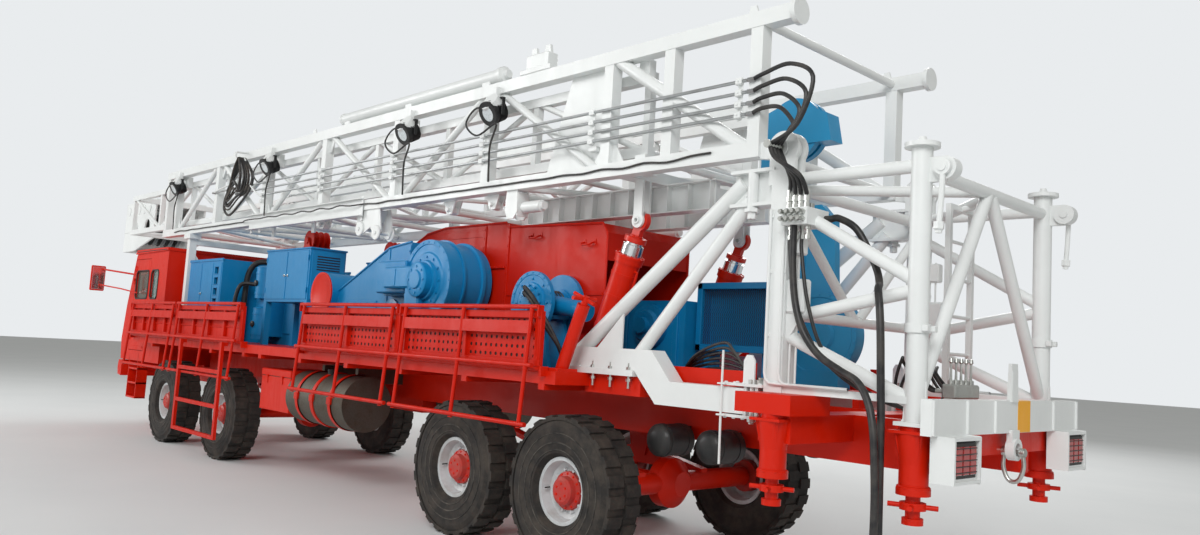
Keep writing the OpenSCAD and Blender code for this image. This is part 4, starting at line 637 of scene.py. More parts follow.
# ---- Crown: rings and bars ------------------------------------------------------------
# Welded rings stiffen the crown's profile-cut side plates and two round bars tie them; painted
# white with the mast, and they ride on its inner section.
CROWN_BODY = "mast_inner"
bm = bmesh.new()
for side in (-1, 1):
    for x in (13.55, 13.85, 14.15, 14.45, 14.75):
        hoop(bm, at(x, side * 0.48, 4.06), (0, side, 0), 0.012, 0.078, 0.09)
    plate(bm, (13.28, 14.93), about(side * 0.486, 0.006), (3.62, 3.66), 0.003)
    hoop(bm, at(14.25, side * 0.48, 3.7), (0, side, 0), 0.03, 0.07, 0.115, 28)
    for k in range(8):
        a = k * math.pi / 4
        turned(bm, at(14.25 + 0.092 * math.cos(a), side * 0.51, 3.7 + 0.092 * math.sin(a)), (0, side, 0),
            [(0, 0.012), (0.01, 0.012), (0.01, 0.0)], 6)
for z in (3.27, 4.16):
    rod(bm, at(14.9, -0.45, z), (0, 1, 0), 0.9, 0.03, 14)
finish_piece("crown_rings_and_bars", bm, white_enamel, CROWN_BODY)


# ---- Bolts --------------------------------------------------------------------------
# Zinc-plated hexagon bolts, painted over with what they hold. One tree sets a bolt at
# every point of a ring or a row; the heads are six-sided prisms with a washer below.
def set_bolts(name, places, head_r, material, body="carrier"):
    """Bolts at (point, outward direction) places, as one plain mesh riding on a body."""
    mesh = bpy.data.meshes.new(name + "_places")
    bm = bmesh.new()
    for point, out in places:
        out = Vector(out).normalized()
        u = out.orthogonal().normalized() * 0.0005
        w = out.cross(u)
        bm.faces.new([bm.verts.new(Vector(point) + k) for k in (u, w, -u, -w)])
    bm.to_mesh(mesh)
    bm.free()
    holder = bpy.data.objects.new(name + "_places", mesh)
    bpy.context.scene.collection.objects.link(holder)
    wrap = bolt_wrap(head_r, material)
    modifier = holder.modifiers.new("bolts", "NODES")
    modifier.node_group = wrap
    holder.update_tag()
    evaluated = holder.evaluated_get(bpy.context.evaluated_depsgraph_get())
    plain = bpy.data.meshes.new_from_object(evaluated)
    holder.modifiers.remove(modifier)
    bpy.data.objects.remove(holder)
    plain.name = name
    plain.shade_smooth()
    plain.set_sharp_from_angle(angle=math.radians(30))
    piece = bpy.data.objects.new(name, plain)
    bpy.context.scene.collection.objects.link(piece)
    if not plain.materials:
        plain.materials.append(material)
    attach(piece, body)
    return piece


def bolt_wrap(head_r, material):
    """The tree that turns each small square into its middle point and sets a bolt there."""
    tree = bpy.data.node_groups.new("bolts_on_places", "GeometryNodeTree")
    tree.interface.new_socket(name="Geometry", in_out="OUTPUT", socket_type="NodeSocketGeometry")
    tree.interface.new_socket(name="Geometry", in_out="INPUT", socket_type="NodeSocketGeometry")
    inlet = add_node(tree, "NodeGroupInput")
    middles = add_node(tree, "GeometryNodeMeshToPoints", {"Radius": 0.001}, mode="FACES")
    normal = add_node(tree, "GeometryNodeInputNormal")
    kept = add_node(tree, "GeometryNodeCaptureAttribute", {0: inlet.outputs[0]}, domain="FACE")
    kept.capture_items.new("VECTOR", "outward")
    tree.links.new(normal.outputs[0], kept.inputs[1])
    tree.links.new(kept.outputs[0], middles.inputs["Mesh"])
    head = add_node(tree, "GeometryNodeMeshCylinder",
        {"Vertices": 6, "Radius": head_r, "Depth": head_r * 1.5})
    washer = add_node(tree, "GeometryNodeMeshCylinder",
        {"Vertices": 12, "Radius": head_r * 1.35, "Depth": head_r * 0.5})
    bolt = add_node(tree, "GeometryNodeJoinGeometry")
    for part in (head, washer):
        tree.links.new(part.outputs["Mesh"], bolt.inputs[0])
    turn = add_node(tree, "FunctionNodeAlignRotationToVector", {"Vector": kept.outputs[1]}, axis="Z")
    placed = add_node(tree, "GeometryNodeInstanceOnPoints",
        {"Points": middles.outputs[0], "Instance": bolt.outputs[0], "Rotation": turn.outputs[0]})
    real = add_node(tree, "GeometryNodeRealizeInstances", {0: placed.outputs[0]})
    painted = add_node(tree, "GeometryNodeSetMaterial", {"Geometry": real.outputs[0], "Material": material})
    outlet = add_node(tree, "NodeGroupOutput")
    tree.links.new(painted.outputs[0], outlet.inputs[0])
    return tree


def ring(centre, axis, radius, count):
    """Places on a ring: (point, direction) pairs for set_bolts."""
    axis = Vector(axis).normalized()
    u = Vector((0, 0, 1)) if abs(axis.z) < 0.9 else Vector((1, 0, 0))
    u = (u - u.dot(axis) * axis).normalized()
    w = axis.cross(u)
    return [(Vector(centre) + radius * (math.cos(a) * u + math.sin(a) * w), axis)
        for a in (2 * math.pi * k / count for k in range(count))]


# ---- Wheel fittings ------------------------------------------------------------------
# Hub covers are bolted round their rim; the tyre's moulded ribs and the valve are rubber. Each
# set rides on its own wheel.
rib_rubber = rubber("tyre_rib_rubber", "#1b1918", 0.6, 0.5)
for number, axle_x in axle_of.items():
    for letter, side in (("l", 1), ("r", -1)):
        wheel = "wheel_" + letter + number
        hub = at(axle_x, 0.0, WHEEL_Z)
        out = Vector((0, side, 0))
        set_bolts(wheel + "_hub_bolts", ring(hub + (WHEEL_Y + 0.065) * out, out, 0.137, 12)
            + ring(hub + (WHEEL_Y + 0.131) * out, out, 0.06, 6), 0.009, red_enamel, wheel)
        bm = bmesh.new()
        for r, y, w in ((0.394, 0.1865, 0.008), (0.47, 0.1825, 0.006), (0.335, 0.1785, 0.006)):
            turned(bm, hub, out, [(WHEEL_Y + y - 0.004, r - w), (WHEEL_Y + y + 0.005, r - w / 2),
                (WHEEL_Y + y + 0.005, r + w / 2), (WHEEL_Y + y - 0.004, r + w)], 72, True)
        sweep(bm, [hub + (WHEEL_Y + 0.06) * out + Vector((0.215, 0, 0)),
            hub + (WHEEL_Y + 0.105) * out + Vector((0.205, 0, 0)),
            hub + (WHEEL_Y + 0.125) * out + Vector((0.2, 0, 0))], 0.006, 8)
        finish_piece(wheel + "_ribs_and_valve", bm, rib_rubber, wheel)


# ---- Drawworks guard -----------------------------------------------------------------
# The hood is 6 mm sheet, rolled at its edges and bolted in two lengths; lift handles and
# hasps are bent from round bar. The raised plate on its side is painted with the hood.
GUARD_Y = 0.576
bm = bmesh.new()
rim = [(0.4, 2.29), (0.4, 2.88), (0.47, 2.97), (1.9, 3.01), (1.93, 3.06), (3.05, 3.06), (3.4, 3.01),
    (3.7, 2.88), (3.7, 2.29)]
for side in (-1, 1):
    sweep(bm, [at(x, side * GUARD_Y, z) for x, z in rim], 0.014, 8)
    for x in (1.88, 2.285):
        plate(bm, about(x, 0.022), (side * GUARD_Y - 0.004, side * GUARD_Y + 0.012), (2.0, 3.04), 0.002)
    plate(bm, (1.905, 2.262), (side * GUARD_Y - 0.004, side * GUARD_Y + 0.008), (2.0, 2.575), 0.003)
    plate(bm, (1.895, 2.272), (side * GUARD_Y - 0.004, side * GUARD_Y + 0.03), (2.575, 2.6), 0.003)
    plate(bm, (0.402, 3.698), (side * GUARD_Y - 0.006, side * GUARD_Y - 0.001), (1.96, 2.31), 0.001)
    plate(bm, (0.43, 1.86), (side * GUARD_Y - 0.004, side * GUARD_Y + 0.008), (2.29, 2.32), 0.002)
    plate(bm, (2.31, 3.67), (side * GUARD_Y - 0.004, side * GUARD_Y + 0.008), (2.29, 2.32), 0.002)
    for x, z in ((0.64, 2.78), (1.43, 2.88), (3.05, 2.6)):
        handle = [at(x - 0.07, side * (GUARD_Y - 0.002), z + 0.02), at(x - 0.07, side * (GUARD_Y + 0.045), z),
            at(x - 0.05, side * (GUARD_Y + 0.055), z - 0.012),
            at(x + 0.05, side * (GUARD_Y + 0.055), z - 0.012), at(x + 0.07, side * (GUARD_Y + 0.045), z),
            at(x + 0.07, side * (GUARD_Y - 0.002), z + 0.02)]
        sweep(bm, handle, 0.009, 8)
        for s in (-1, 1):
            plate(bm, (x + s * 0.07 - 0.022, x + s * 0.07 + 0.022),
                (side * GUARD_Y - 0.004, side * GUARD_Y + 0.006), (z - 0.012, z + 0.045), 0.002)
    plate(bm, (2.25, 3.25), (side * GUARD_Y - 0.004, side * GUARD_Y + 0.005), (2.925, 3.0), 0.003)
finish_piece("guard_edges_and_handles", bm, panel_enamel)
places = []
for side in (-1, 1):
    for k in range(11):
        for x in (1.88, 2.285):
            places.append((at(x, side * (GUARD_Y + 0.012), 2.05 + k * 0.095), (0, side, 0)))
    for k in range(6):
        places.append((at(1.94 + k * 0.057, side * (GUARD_Y + 0.03), 2.5875), (0, side, 0)))
set_bolts("guard_bolts", places, 0.008, panel_enamel)


# ---- Winch ---------------------------------------------------------------------------
# Cast drum between turned flanges with a planetary drive; steel rope is wound on it.
WINCH_X, WINCH_Z = 0.93, 2.19
ROPE_PITCH = 0.0768 / 2.2
bm = bmesh.new()
for y, out in ((1.0, 1), (0.605, -1)):
    turned(bm, at(WINCH_X, y, WINCH_Z), (0, out, 0), [
        (-0.034, 0.0), (-0.034, 0.295), (0.008, 0.295), (0.008, 0.262), (0.003, 0.255), (0.003, 0.19),
        (0.022, 0.182), (0.03, 0.15),
        (0.05, 0.14), (0.055, 0.095), (0.085, 0.088), (0.09, 0.0)], 48)
turned(bm, at(WINCH_X, 0.64, WINCH_Z), (0, 1, 0),
    [(0, 0.0), (0, 0.155), (0.02, 0.155), (0.02, 0.125), (0.3, 0.125), (0.3, 0.155), (0.33, 0.155),
    (0.33, 0.0)], 40)
turned(bm, at(WINCH_X - 0.02, 0.8, WINCH_Z + 0.005), (-1, 0, -0.12),
    [(0.0, 0.0), (0.0, 0.085), (0.5, 0.085), (0.5, 0.1), (0.53, 0.1), (0.53, 0.0)], 28)
plate(bm, about(WINCH_X, 0.16), (0.66, 0.94), (2.05, 2.09), 0.006)
finish_piece("winch_flanges", bm, blue_enamel)
set_bolts("winch_bolts", ring(at(WINCH_X, 1.006, WINCH_Z), (0, 1, 0), 0.279, 20)
    + ring(at(WINCH_X, 1.006, WINCH_Z), (0, 1, 0), 0.222, 8)
    + ring(at(WINCH_X, 1.04, WINCH_Z), (0, 1, 0), 0.16, 12)
    + ring(at(WINCH_X, 1.085, WINCH_Z), (0, 1, 0), 0.065, 8), 0.01, blue_enamel)
rope_steel = bare_metal("greased_wire_rope", "#5e5a55", 0.42, stain_share=0.6)
bm = bmesh.new()
turns = [at(WINCH_X + 0.128 * math.sin(a), 0.668 + ROPE_PITCH * a / (2 * math.pi),
    WINCH_Z + 0.128 * math.cos(a)) for a in (k * math.pi / 12 for k in range(12 * 14))]
sweep(bm, turns, 0.008, 6)
finish_piece("winch_rope", bm, rope_steel)
bm = bmesh.new()
for shift in (0.0, 0.05):
    run_hose(bm, 0.019, 10, [(0.93, 1.08, 2.3 - shift), (0.88, 1.13, 2.32 - shift), (0.7, 1.17, 2.22 - shift),
        (0.52, 1.16, 2.02 - shift), (0.4, 1.1, 1.8), (0.37, 1.03 - shift, 1.6)], 7)
finish_piece("winch_hoses", bm, hose_rubber)


# ---- Chain case and clutch housing -----------------------------------------------------
# Welded case with a cast round cover, split and bolted round its rim, and a bracket box.
DRUM_X, DRUM_Z = 2.45, 2.4
bm = bmesh.new()
turned(bm, at(DRUM_X, 1.165, DRUM_Z), (0, 1, 0), [
    (-0.004, 0.428), (0.014, 0.428), (0.014, 0.385), (0.004, 0.378), (0.004, 0.3), (0.018, 0.285),
    (0.024, 0.215), (0.055, 0.205),
    (0.06, 0.185), (0.13, 0.18), (0.14, 0.165), (0.14, 0.1), (0.158, 0.09), (0.158, 0.0)], 64)
turned(bm, at(DRUM_X, 0.6, DRUM_Z), (0, 1, 0), [
    (0.0, 0.0), (0.0, 0.37), (0.03, 0.405), (0.12, 0.415), (0.13, 0.44), (0.165, 0.44), (0.175, 0.415),
    (0.375, 0.415), (0.375, 0.0)], 64)
hoop(bm, at(DRUM_X, 0.985, DRUM_Z), (0, 1, 0), 0.022, 0.425, 0.445, 64)
plate(bm, (2.44, 3.1), (1.2, 1.295), (2.315, 2.545), 0.018)
plate(bm, (2.44, 2.7), (1.19, 1.275), (2.09, 2.33), 0.018)
plate(bm, (2.8, 3.38), (1.095, 1.215), (2.27, 2.62), 0.015)
plate(bm, (2.86, 2.9), (1.29, 1.301), (2.34, 2.52), 0.002)
plate(bm, (3.05, 3.09), (1.0, 1.012), (1.64, 2.82), 0.003)
for x, z in ((3.5, 2.79), (4.62, 2.29)):
    plate(bm, about(x, 0.02), (1.0, 1.01), (1.64, z), 0.003)
sweep(bm, [at(3.05, 1.004, 2.855), at(3.5, 1.004, 2.805), at(4.65, 1.004, 2.305), at(4.75, 1.004, 1.66)],
    0.013, 8)
plate(bm, (3.7, 4.4), (0.998, 1.014), (1.8, 2.2), 0.008)
turned(bm, at(3.36, 1.0, 2.05), (0, 1, 0), [(-0.004, 0.17), (0.02, 0.17), (0.028, 0.14), (0.028, 0.0)], 36)
finish_piece("chain_case_covers", bm, blue_enamel)
bm = bmesh.new()
turned(bm, at(4.86, 1.1, 2.28), (0, 1, 0), [(-0.004, 0.263), (0.012, 0.263), (0.012, 0.23), (0.006, 0.22),
    (0.006, 0.0)], 48)
finish_piece("shaft_end_cover", bm, red_enamel)
set_bolts("chain_case_bolts", ring(at(DRUM_X, 1.175, DRUM_Z), (0, 1, 0), 0.405, 24)
    + ring(at(DRUM_X, 1.189, DRUM_Z), (0, 1, 0), 0.245, 12)
    + ring(at(DRUM_X, 1.305, DRUM_Z), (0, 1, 0), 0.135, 8)
    + [(at(x, 1.014, z), (0, 1, 0)) for x in (3.74, 3.9, 4.05, 4.2, 4.36) for z in (1.83, 2.17)]
    + [(at(3.07, 1.012, z), (0, 1, 0)) for z in (1.72, 1.95, 2.18, 2.75)], 0.012, blue_enamel)


# ---- Cooler and pump -----------------------------------------------------------------
# Oil cooler in a channel frame with a pressed expanded-metal screen; a cast pump beside it.
screen_black = enamel("screen_dark_paint", "#141a20", dust=0.35, rough=0.5)
bm = bmesh.new()
STRAND = 0.0035
for k in range(31):
    x = -0.79 + k * 0.024
    zig = [at(x + (0.012 if j % 2 else 0.0), -0.292, 1.905 + j * 0.0215) for j in range(25)]
    sweep(bm, zig, STRAND, 4)
finish_piece("cooler_expanded_screen", bm, screen_black, "carrier", 80)
bm = bmesh.new()
plate(bm, (-0.86, -0.8), (-0.29, -0.262), (1.84, 2.48), 0.004)
plate(bm, (-0.07, -0.01), (-0.29, -0.262), (1.84, 2.48), 0.004)
plate(bm, (-0.86, -0.01), (-0.29, -0.262), (2.42, 2.48), 0.004)
plate(bm, (-0.86, -0.01), (-0.29, -0.262), (1.84, 1.9), 0.004)
turned(bm, at(0.45, -0.085, 2.05), (0, 1, 0), [(-0.002, 0.208), (0.01, 0.208), (0.02, 0.16), (0.06, 0.14),
    (0.065, 0.08), (0.12, 0.075), (0.12, 0.0)], 40)
plate(bm, (0.1, 0.16), (-0.142, -0.12), (1.62, 2.29), 0.004)
plate(bm, (0.76, 0.82), (-0.142, -0.12), (1.62, 2.29), 0.004)
finish_piece("cooler_frame_and_pump_cover", bm, blue_enamel)
set_bolts("pump_bolts", ring(at(0.45, -0.076, 2.05), (0, 1, 0), 0.185, 14)
    + ring(at(0.45, -0.026, 2.05), (0, 1, 0), 0.11, 8), 0.01, blue_enamel)
bm = bmesh.new()
turned(bm, at(-1.18, -0.54, 2.03), (0, 1, 0), [(-0.002, 0.378), (0.014, 0.378), (0.014, 0.34), (0.004, 0.33),
    (0.004, 0.16), (0.03, 0.14), (0.03, 0.0)], 56)
plate(bm, (-1.0, -0.8), (-0.56, -0.548), (2.45, 3.05), 0.004)
finish_piece("case_covers", bm, bright_blue_enamel)
set_bolts("case_bolts", ring(at(-1.18, -0.528, 2.03), (0, 1, 0), 0.359, 22), 0.011, bright_blue_enamel)


# ---- Cab -----------------------------------------------------------------------------
# Pressed-steel cab, spot-welded and painted. Rubber gaskets hold the glass; the lamps,
# mirrors, wipers and handles are bought-in parts in black plastic and pressed steel.
CAB_Y = 1.25
trim_black = rubber("window_gasket_rubber", "#121314", 0.5, 0.15)
plastic_black = rubber("moulded_black_plastic", "#17181a", 0.38, 0.2)


def acrylic(name, deep, bright):
    """Moulded acrylic with a ribbed inner face."""
    m, t, where = empty_material(name)
    ribs = add_node(t, "ShaderNodeTexWave", {"Vector": where, "Scale": 30.0}).outputs["Fac"]
    close_surface(t, {"Base Color": mixed(t, ribs, deep, bright), "Roughness": 0.12, "Coat Weight": 0.8})
    return m


lamp_red = acrylic("lamp_red_acrylic", "#8e1010", "#c41a16")
lamp_amber = acrylic("lamp_amber_acrylic", "#b85a10", "#e88a1c")


def gasket(bm, x0, x1, z0, z1, y):
    """A rubber section run round a window opening in a side wall."""
    c = 0.05
    loop = [at(x0 + c, y, z0), at(x1 - c, y, z0), at(x1, y, z0 + c), at(x1, y, z1 - c), at(x1 - c, y, z1),
        at(x0 + c, y, z1), at(x0, y, z1 - c), at(x0, y, z0 + c)]
    sweep(bm, loop + [loop[0], loop[0].lerp(loop[1], 0.05)], 0.011, 8)


bm = bmesh.new()
for side in (-1, 1):
    gasket(bm, 10.28, 10.62, 2.2, 2.68, side * (CAB_Y + 0.002))
    plate(bm, (9.93, 11.36), (side * CAB_Y - 0.004, side * CAB_Y + 0.03), (3.0, 3.012), 0.003)
finish_piece("cab_side_gaskets", bm, trim_black)
for body, side in (("door_left", 1), ("door_right", -1)):
    bm = bmesh.new()
    gasket(bm, 10.745, 11.36, 2.2, 2.68, side * (CAB_Y + 0.002))
    plate(bm, (10.735, 10.905), (side * (CAB_Y + 0.03), side * (CAB_Y + 0.045)), (2.055, 2.085), 0.006)
    finish_piece(body + "_gasket_and_handle", bm, trim_black, body)
    bm = bmesh.new()
    for z0, z1 in ((1.36, 1.4), (1.98, 2.02)):
        plate(bm, (10.74, 11.38), (side * (CAB_Y - 0.002), side * (CAB_Y + 0.006)), (z0, z1), 0.004)
    for z in (1.55, 2.05, 2.72):
        rod(bm, at(11.436, side * (CAB_Y + 0.01), z - 0.05), (0, 0, 1), 0.1, 0.012, 12)
        plate(bm, (11.36, 11.428), (side * (CAB_Y - 0.002), side * (CAB_Y + 0.008)), about(z, 0.04), 0.002)
    finish_piece(body + "_pressings_and_hinges", bm, red_enamel, body)

bm = bmesh.new()
SCREEN_FOOT, SCREEN_X, ROOF_X, SCREEN_TOP = 2.1, 11.73, 11.45, 2.94
lean = (SCREEN_X - ROOF_X) / (SCREEN_TOP - SCREEN_FOOT)


def on_screen(z, out=0.004):
    """Station of the windscreen's outer face at a height."""
    return SCREEN_X + out - (z - SCREEN_FOOT) * lean


for side in (-1, 1):
    loop = [(0.075, 2.165), (1.125, 2.165), (1.125, 2.845), (0.075, 2.845)]
    corners = [at(on_screen(z), side * y, z) for y, z in loop]
    sweep(bm, corners + [corners[0], corners[0].lerp(corners[1], 0.03)], 0.013, 8)
    wiper = [at(on_screen(2.12, 0.03), side * 0.35, 2.12), at(on_screen(2.3, 0.035), side * 0.55, 2.3),
        at(on_screen(2.62, 0.03), side * 0.8, 2.62)]
    sweep(bm, wiper, 0.007, 6)
    sweep(bm, [at(on_screen(2.42, 0.016), side * 0.7, 2.42), at(on_screen(2.8, 0.016), side * 0.88, 2.8)],
        0.008, 6)
finish_piece("windscreen_gaskets_and_wipers", bm, trim_black)

bm, glass_bm, amber_bm = bmesh.new(), bmesh.new(), bmesh.new()
for side in (-1, 1):
    plate(bm, (11.838, 11.868), about(side * 0.93, 0.19), (1.55, 1.8), 0.012)
    for y in (0.85, 1.02):
        turned(glass_bm, at(11.866, side * y, 1.675), (1, 0, 0),
            [(-0.01, 0.0), (-0.01, 0.072), (0.008, 0.068), (0.014, 0.0)], 24)
    plate(amber_bm, (11.842, 11.872), about(side * 1.18, 0.045), (1.6, 1.75), 0.01)
    for y in (0.35, 1.05):
        plate(amber_bm, (11.4, 11.44), about(side * y, 0.05), (3.022, 3.06), 0.01)
plate(bm, (11.842, 11.862), (-0.6, 0.6), (1.45, 1.95), 0.01)
for k in range(9):
    plate(bm, (11.85, 11.886), (-0.56, 0.56), (1.49 + k * 0.05, 1.513 + k * 0.05), 0.004)
plate(bm, (11.69, 11.79), (-1.18, 1.18), (2.02, 2.045), 0.006)
finish_piece("cab_front_grille_and_lamp_frames", bm, plastic_black)
finish_piece("head_lamp_glasses", glass_bm, lamp_glass)
finish_piece("cab_amber_lamps", amber_bm, lamp_amber)

bm = bmesh.new()
for side in (-1, 1):
    plate(bm, (12.105, 12.15), about(side * 1.66, 0.115), (2.31, 2.75), 0.02)
    sweep(bm, [at(11.3, side * 1.24, 2.3), at(11.6, side * 1.42, 2.36), at(12.12, side * 1.64, 2.42)], 0.012,
        8)
finish_piece("mirror_housings", bm, red_enamel)
# The door panes are opaque: their mottled dark grey is painted shade of the cab seen through the glass.
pane_glass, t, where = empty_material("door_pane_painted_shade")
film = noise(t, where, 3.0, 6.0)
close_surface(t, {"Base Color": mixed(t, film, "#3d3a34", "#6b665c"),
    "Roughness": remap(t, film, 0.3, 0.7, 0.04, 0.16), "IOR": 1.5})
for body, side in (("door_left", 1), ("door_right", -1)):
    bm = bmesh.new()
    for y in (CAB_Y - 0.0235, CAB_Y - 0.0305):
        plate(bm, (10.748, 11.357), about(side * y, 0.0015), (2.203, 2.677), 0.0004)
    finish_piece(body + "_pane", bm, pane_glass, body)
mirror_glass = bare_metal("silvered_mirror_glass", "#e9edf0", 0.02, stain_share=0.02)
bm = bmesh.new()
for side in (-1, 1):
    plate(bm, (12.099, 12.108), about(side * 1.66, 0.095), (2.335, 2.725), 0.003)
finish_piece("mirror_faces", bm, mirror_glass)

# Cab steps with their side plates, the cab's brackets and two bumper discs: folded plate, painted red.
bm = bmesh.new()
for side in (-1, 1):
    for k in range(3):
        z = 0.52 + k * 0.24
        plate(bm, (10.86, 11.32), (side * 1.19 - 0.11, side * 1.19 + 0.06), (z, z + 0.03), 0.004)
        for x in (10.86, 11.3):
            plate(bm, (x, x + 0.02), (side * 1.19 - 0.11, side * 1.19 + 0.06), (z, z + 0.27), 0.003)
    for x in (10.0, 11.4):
        plate(bm, (x, x + 0.06), about(side * 1.08, 0.015), (0.95, 1.16), 0.004)
    turned(bm, at(11.895, side * 0.62, 1.0), (1, 0, 0),
        [(-0.02, 0.0), (-0.02, 0.085), (0.004, 0.085), (0.004, 0.0)], 24)
finish_piece("cab_steps", bm, red_enamel)


# ---- Walkways and handrails -------------------------------------------------------------
# Folded trays of 4 mm sheet with welded channel ribs; the aft pair is punched for grip.
# Their handrails are steel tube with a knee strip. Everything is sprayed red when welded.
HINGE_Y, HINGE_Z, WALK_W = 1.478, 1.602, 0.48
TRAY_SKIN_Y, TRAY_FACE_Y = HINGE_Y - 0.014, HINGE_Y + 0.02
RAIL_TOP_Y, RAIL_TOP_Z = 1.526, 2.115
panels = {
    "walkway_front": ((6.18, 8.49, False), (8.54, 10.56, False)),
    "walkway_rear": ((0.18, 2.32, True), (2.37, 4.5, True)),
}


def punched_tree():
    """A sheet of square tiles, each with a round hole, set out in rows and columns."""
    tree = bpy.data.node_groups.new("punched_sheet", "GeometryNodeTree")
    tree.interface.new_socket(name="Geometry", in_out="OUTPUT", socket_type="NodeSocketGeometry")
    names = (("Tile", "NodeSocketObject", None), ("Columns", "NodeSocketInt", 10),
        ("Rows", "NodeSocketInt", 5), ("Pitch", "NodeSocketFloat", 0.05),
        ("Paint", "NodeSocketMaterial", None))
    for label, kind, value in names:
        socket = tree.interface.new_socket(name=label, in_out="INPUT", socket_type=kind)
        if value is not None:
            socket.default_value = value
    inlet = add_node(tree, "NodeGroupInput")
    across, down = (maths(tree, "MULTIPLY", inlet.outputs[n], inlet.outputs["Pitch"])
        for n in ("Columns", "Rows"))
    wide, tall = (maths(tree, "SUBTRACT", m, inlet.outputs["Pitch"]) for m in (across, down))
    spots = add_node(tree, "GeometryNodeMeshGrid",
        {"Size X": wide, "Size Y": tall, "Vertices X": inlet.outputs["Columns"],
        "Vertices Y": inlet.outputs["Rows"]})
    tile = add_node(tree, "GeometryNodeObjectInfo", {"Object": inlet.outputs["Tile"], "As Instance": True})
    laid = add_node(tree, "GeometryNodeInstanceOnPoints",
        {"Points": spots.outputs["Mesh"], "Instance": tile.outputs["Geometry"]})
    real = add_node(tree, "GeometryNodeRealizeInstances", {0: laid.outputs[0]})
    joined = add_node(tree, "GeometryNodeMergeByDistance", {"Geometry": real.outputs[0], "Distance": 0.0004})
    painted = add_node(tree, "GeometryNodeSetMaterial",
        {"Geometry": joined.outputs[0], "Material": inlet.outputs["Paint"]})
    outlet = add_node(tree, "NodeGroupOutput")
    tree.links.new(painted.outputs[0], outlet.inputs[0])
    return tree


def hole_tile(pitch, hole_r):
    """One square of sheet with a round hole, thin, for the punched tree."""
    bm = bmesh.new()
    sides, h = 12, pitch / 2
    for z, flip in ((0.0, True), (0.003, False)):
        hole = [bm.verts.new((hole_r * math.cos(a), hole_r * math.sin(a), z))
            for a in (2 * math.pi * (k + 0.5) / sides for k in range(sides))]
        edge = []
        for k in range(sides):
            a = 2 * math.pi * (k + 0.5) / sides
            reach = h / max(abs(math.cos(a)), abs(math.sin(a)))
            edge.append(bm.verts.new((reach * math.cos(a), reach * math.sin(a), z)))
        for k in range(sides):
            m = (k + 1) % sides
            quad = (hole[k], edge[k], edge[m], hole[m])
            bm.faces.new(tuple(reversed(quad)) if flip else quad)
        for k in range(sides):
            m = (k + 1) % sides
            a, b = edge[k].co, edge[m].co
            if abs(abs(a.x) - abs(b.x)) > 1e-6 and abs(abs(a.y) - abs(b.y)) > 1e-6:
                c = bm.verts.new((math.copysign(h, a.x), math.copysign(h, a.y), z))
                face = (edge[k], c, edge[m])
                bm.faces.new(tuple(reversed(face)) if flip else face)
        if flip:
            low = hole
        else:
            for k in range(sides):
                m = (k + 1) % sides
                bm.faces.new((hole[k], hole[m], low[m], low[k]))
    mesh = bpy.data.meshes.new("punched_tile")
    bm.to_mesh(mesh)
    bm.free()
    tile = bpy.data.objects.new("punched_tile", mesh)
    bpy.context.scene.collection.objects.link(tile)
    return tile


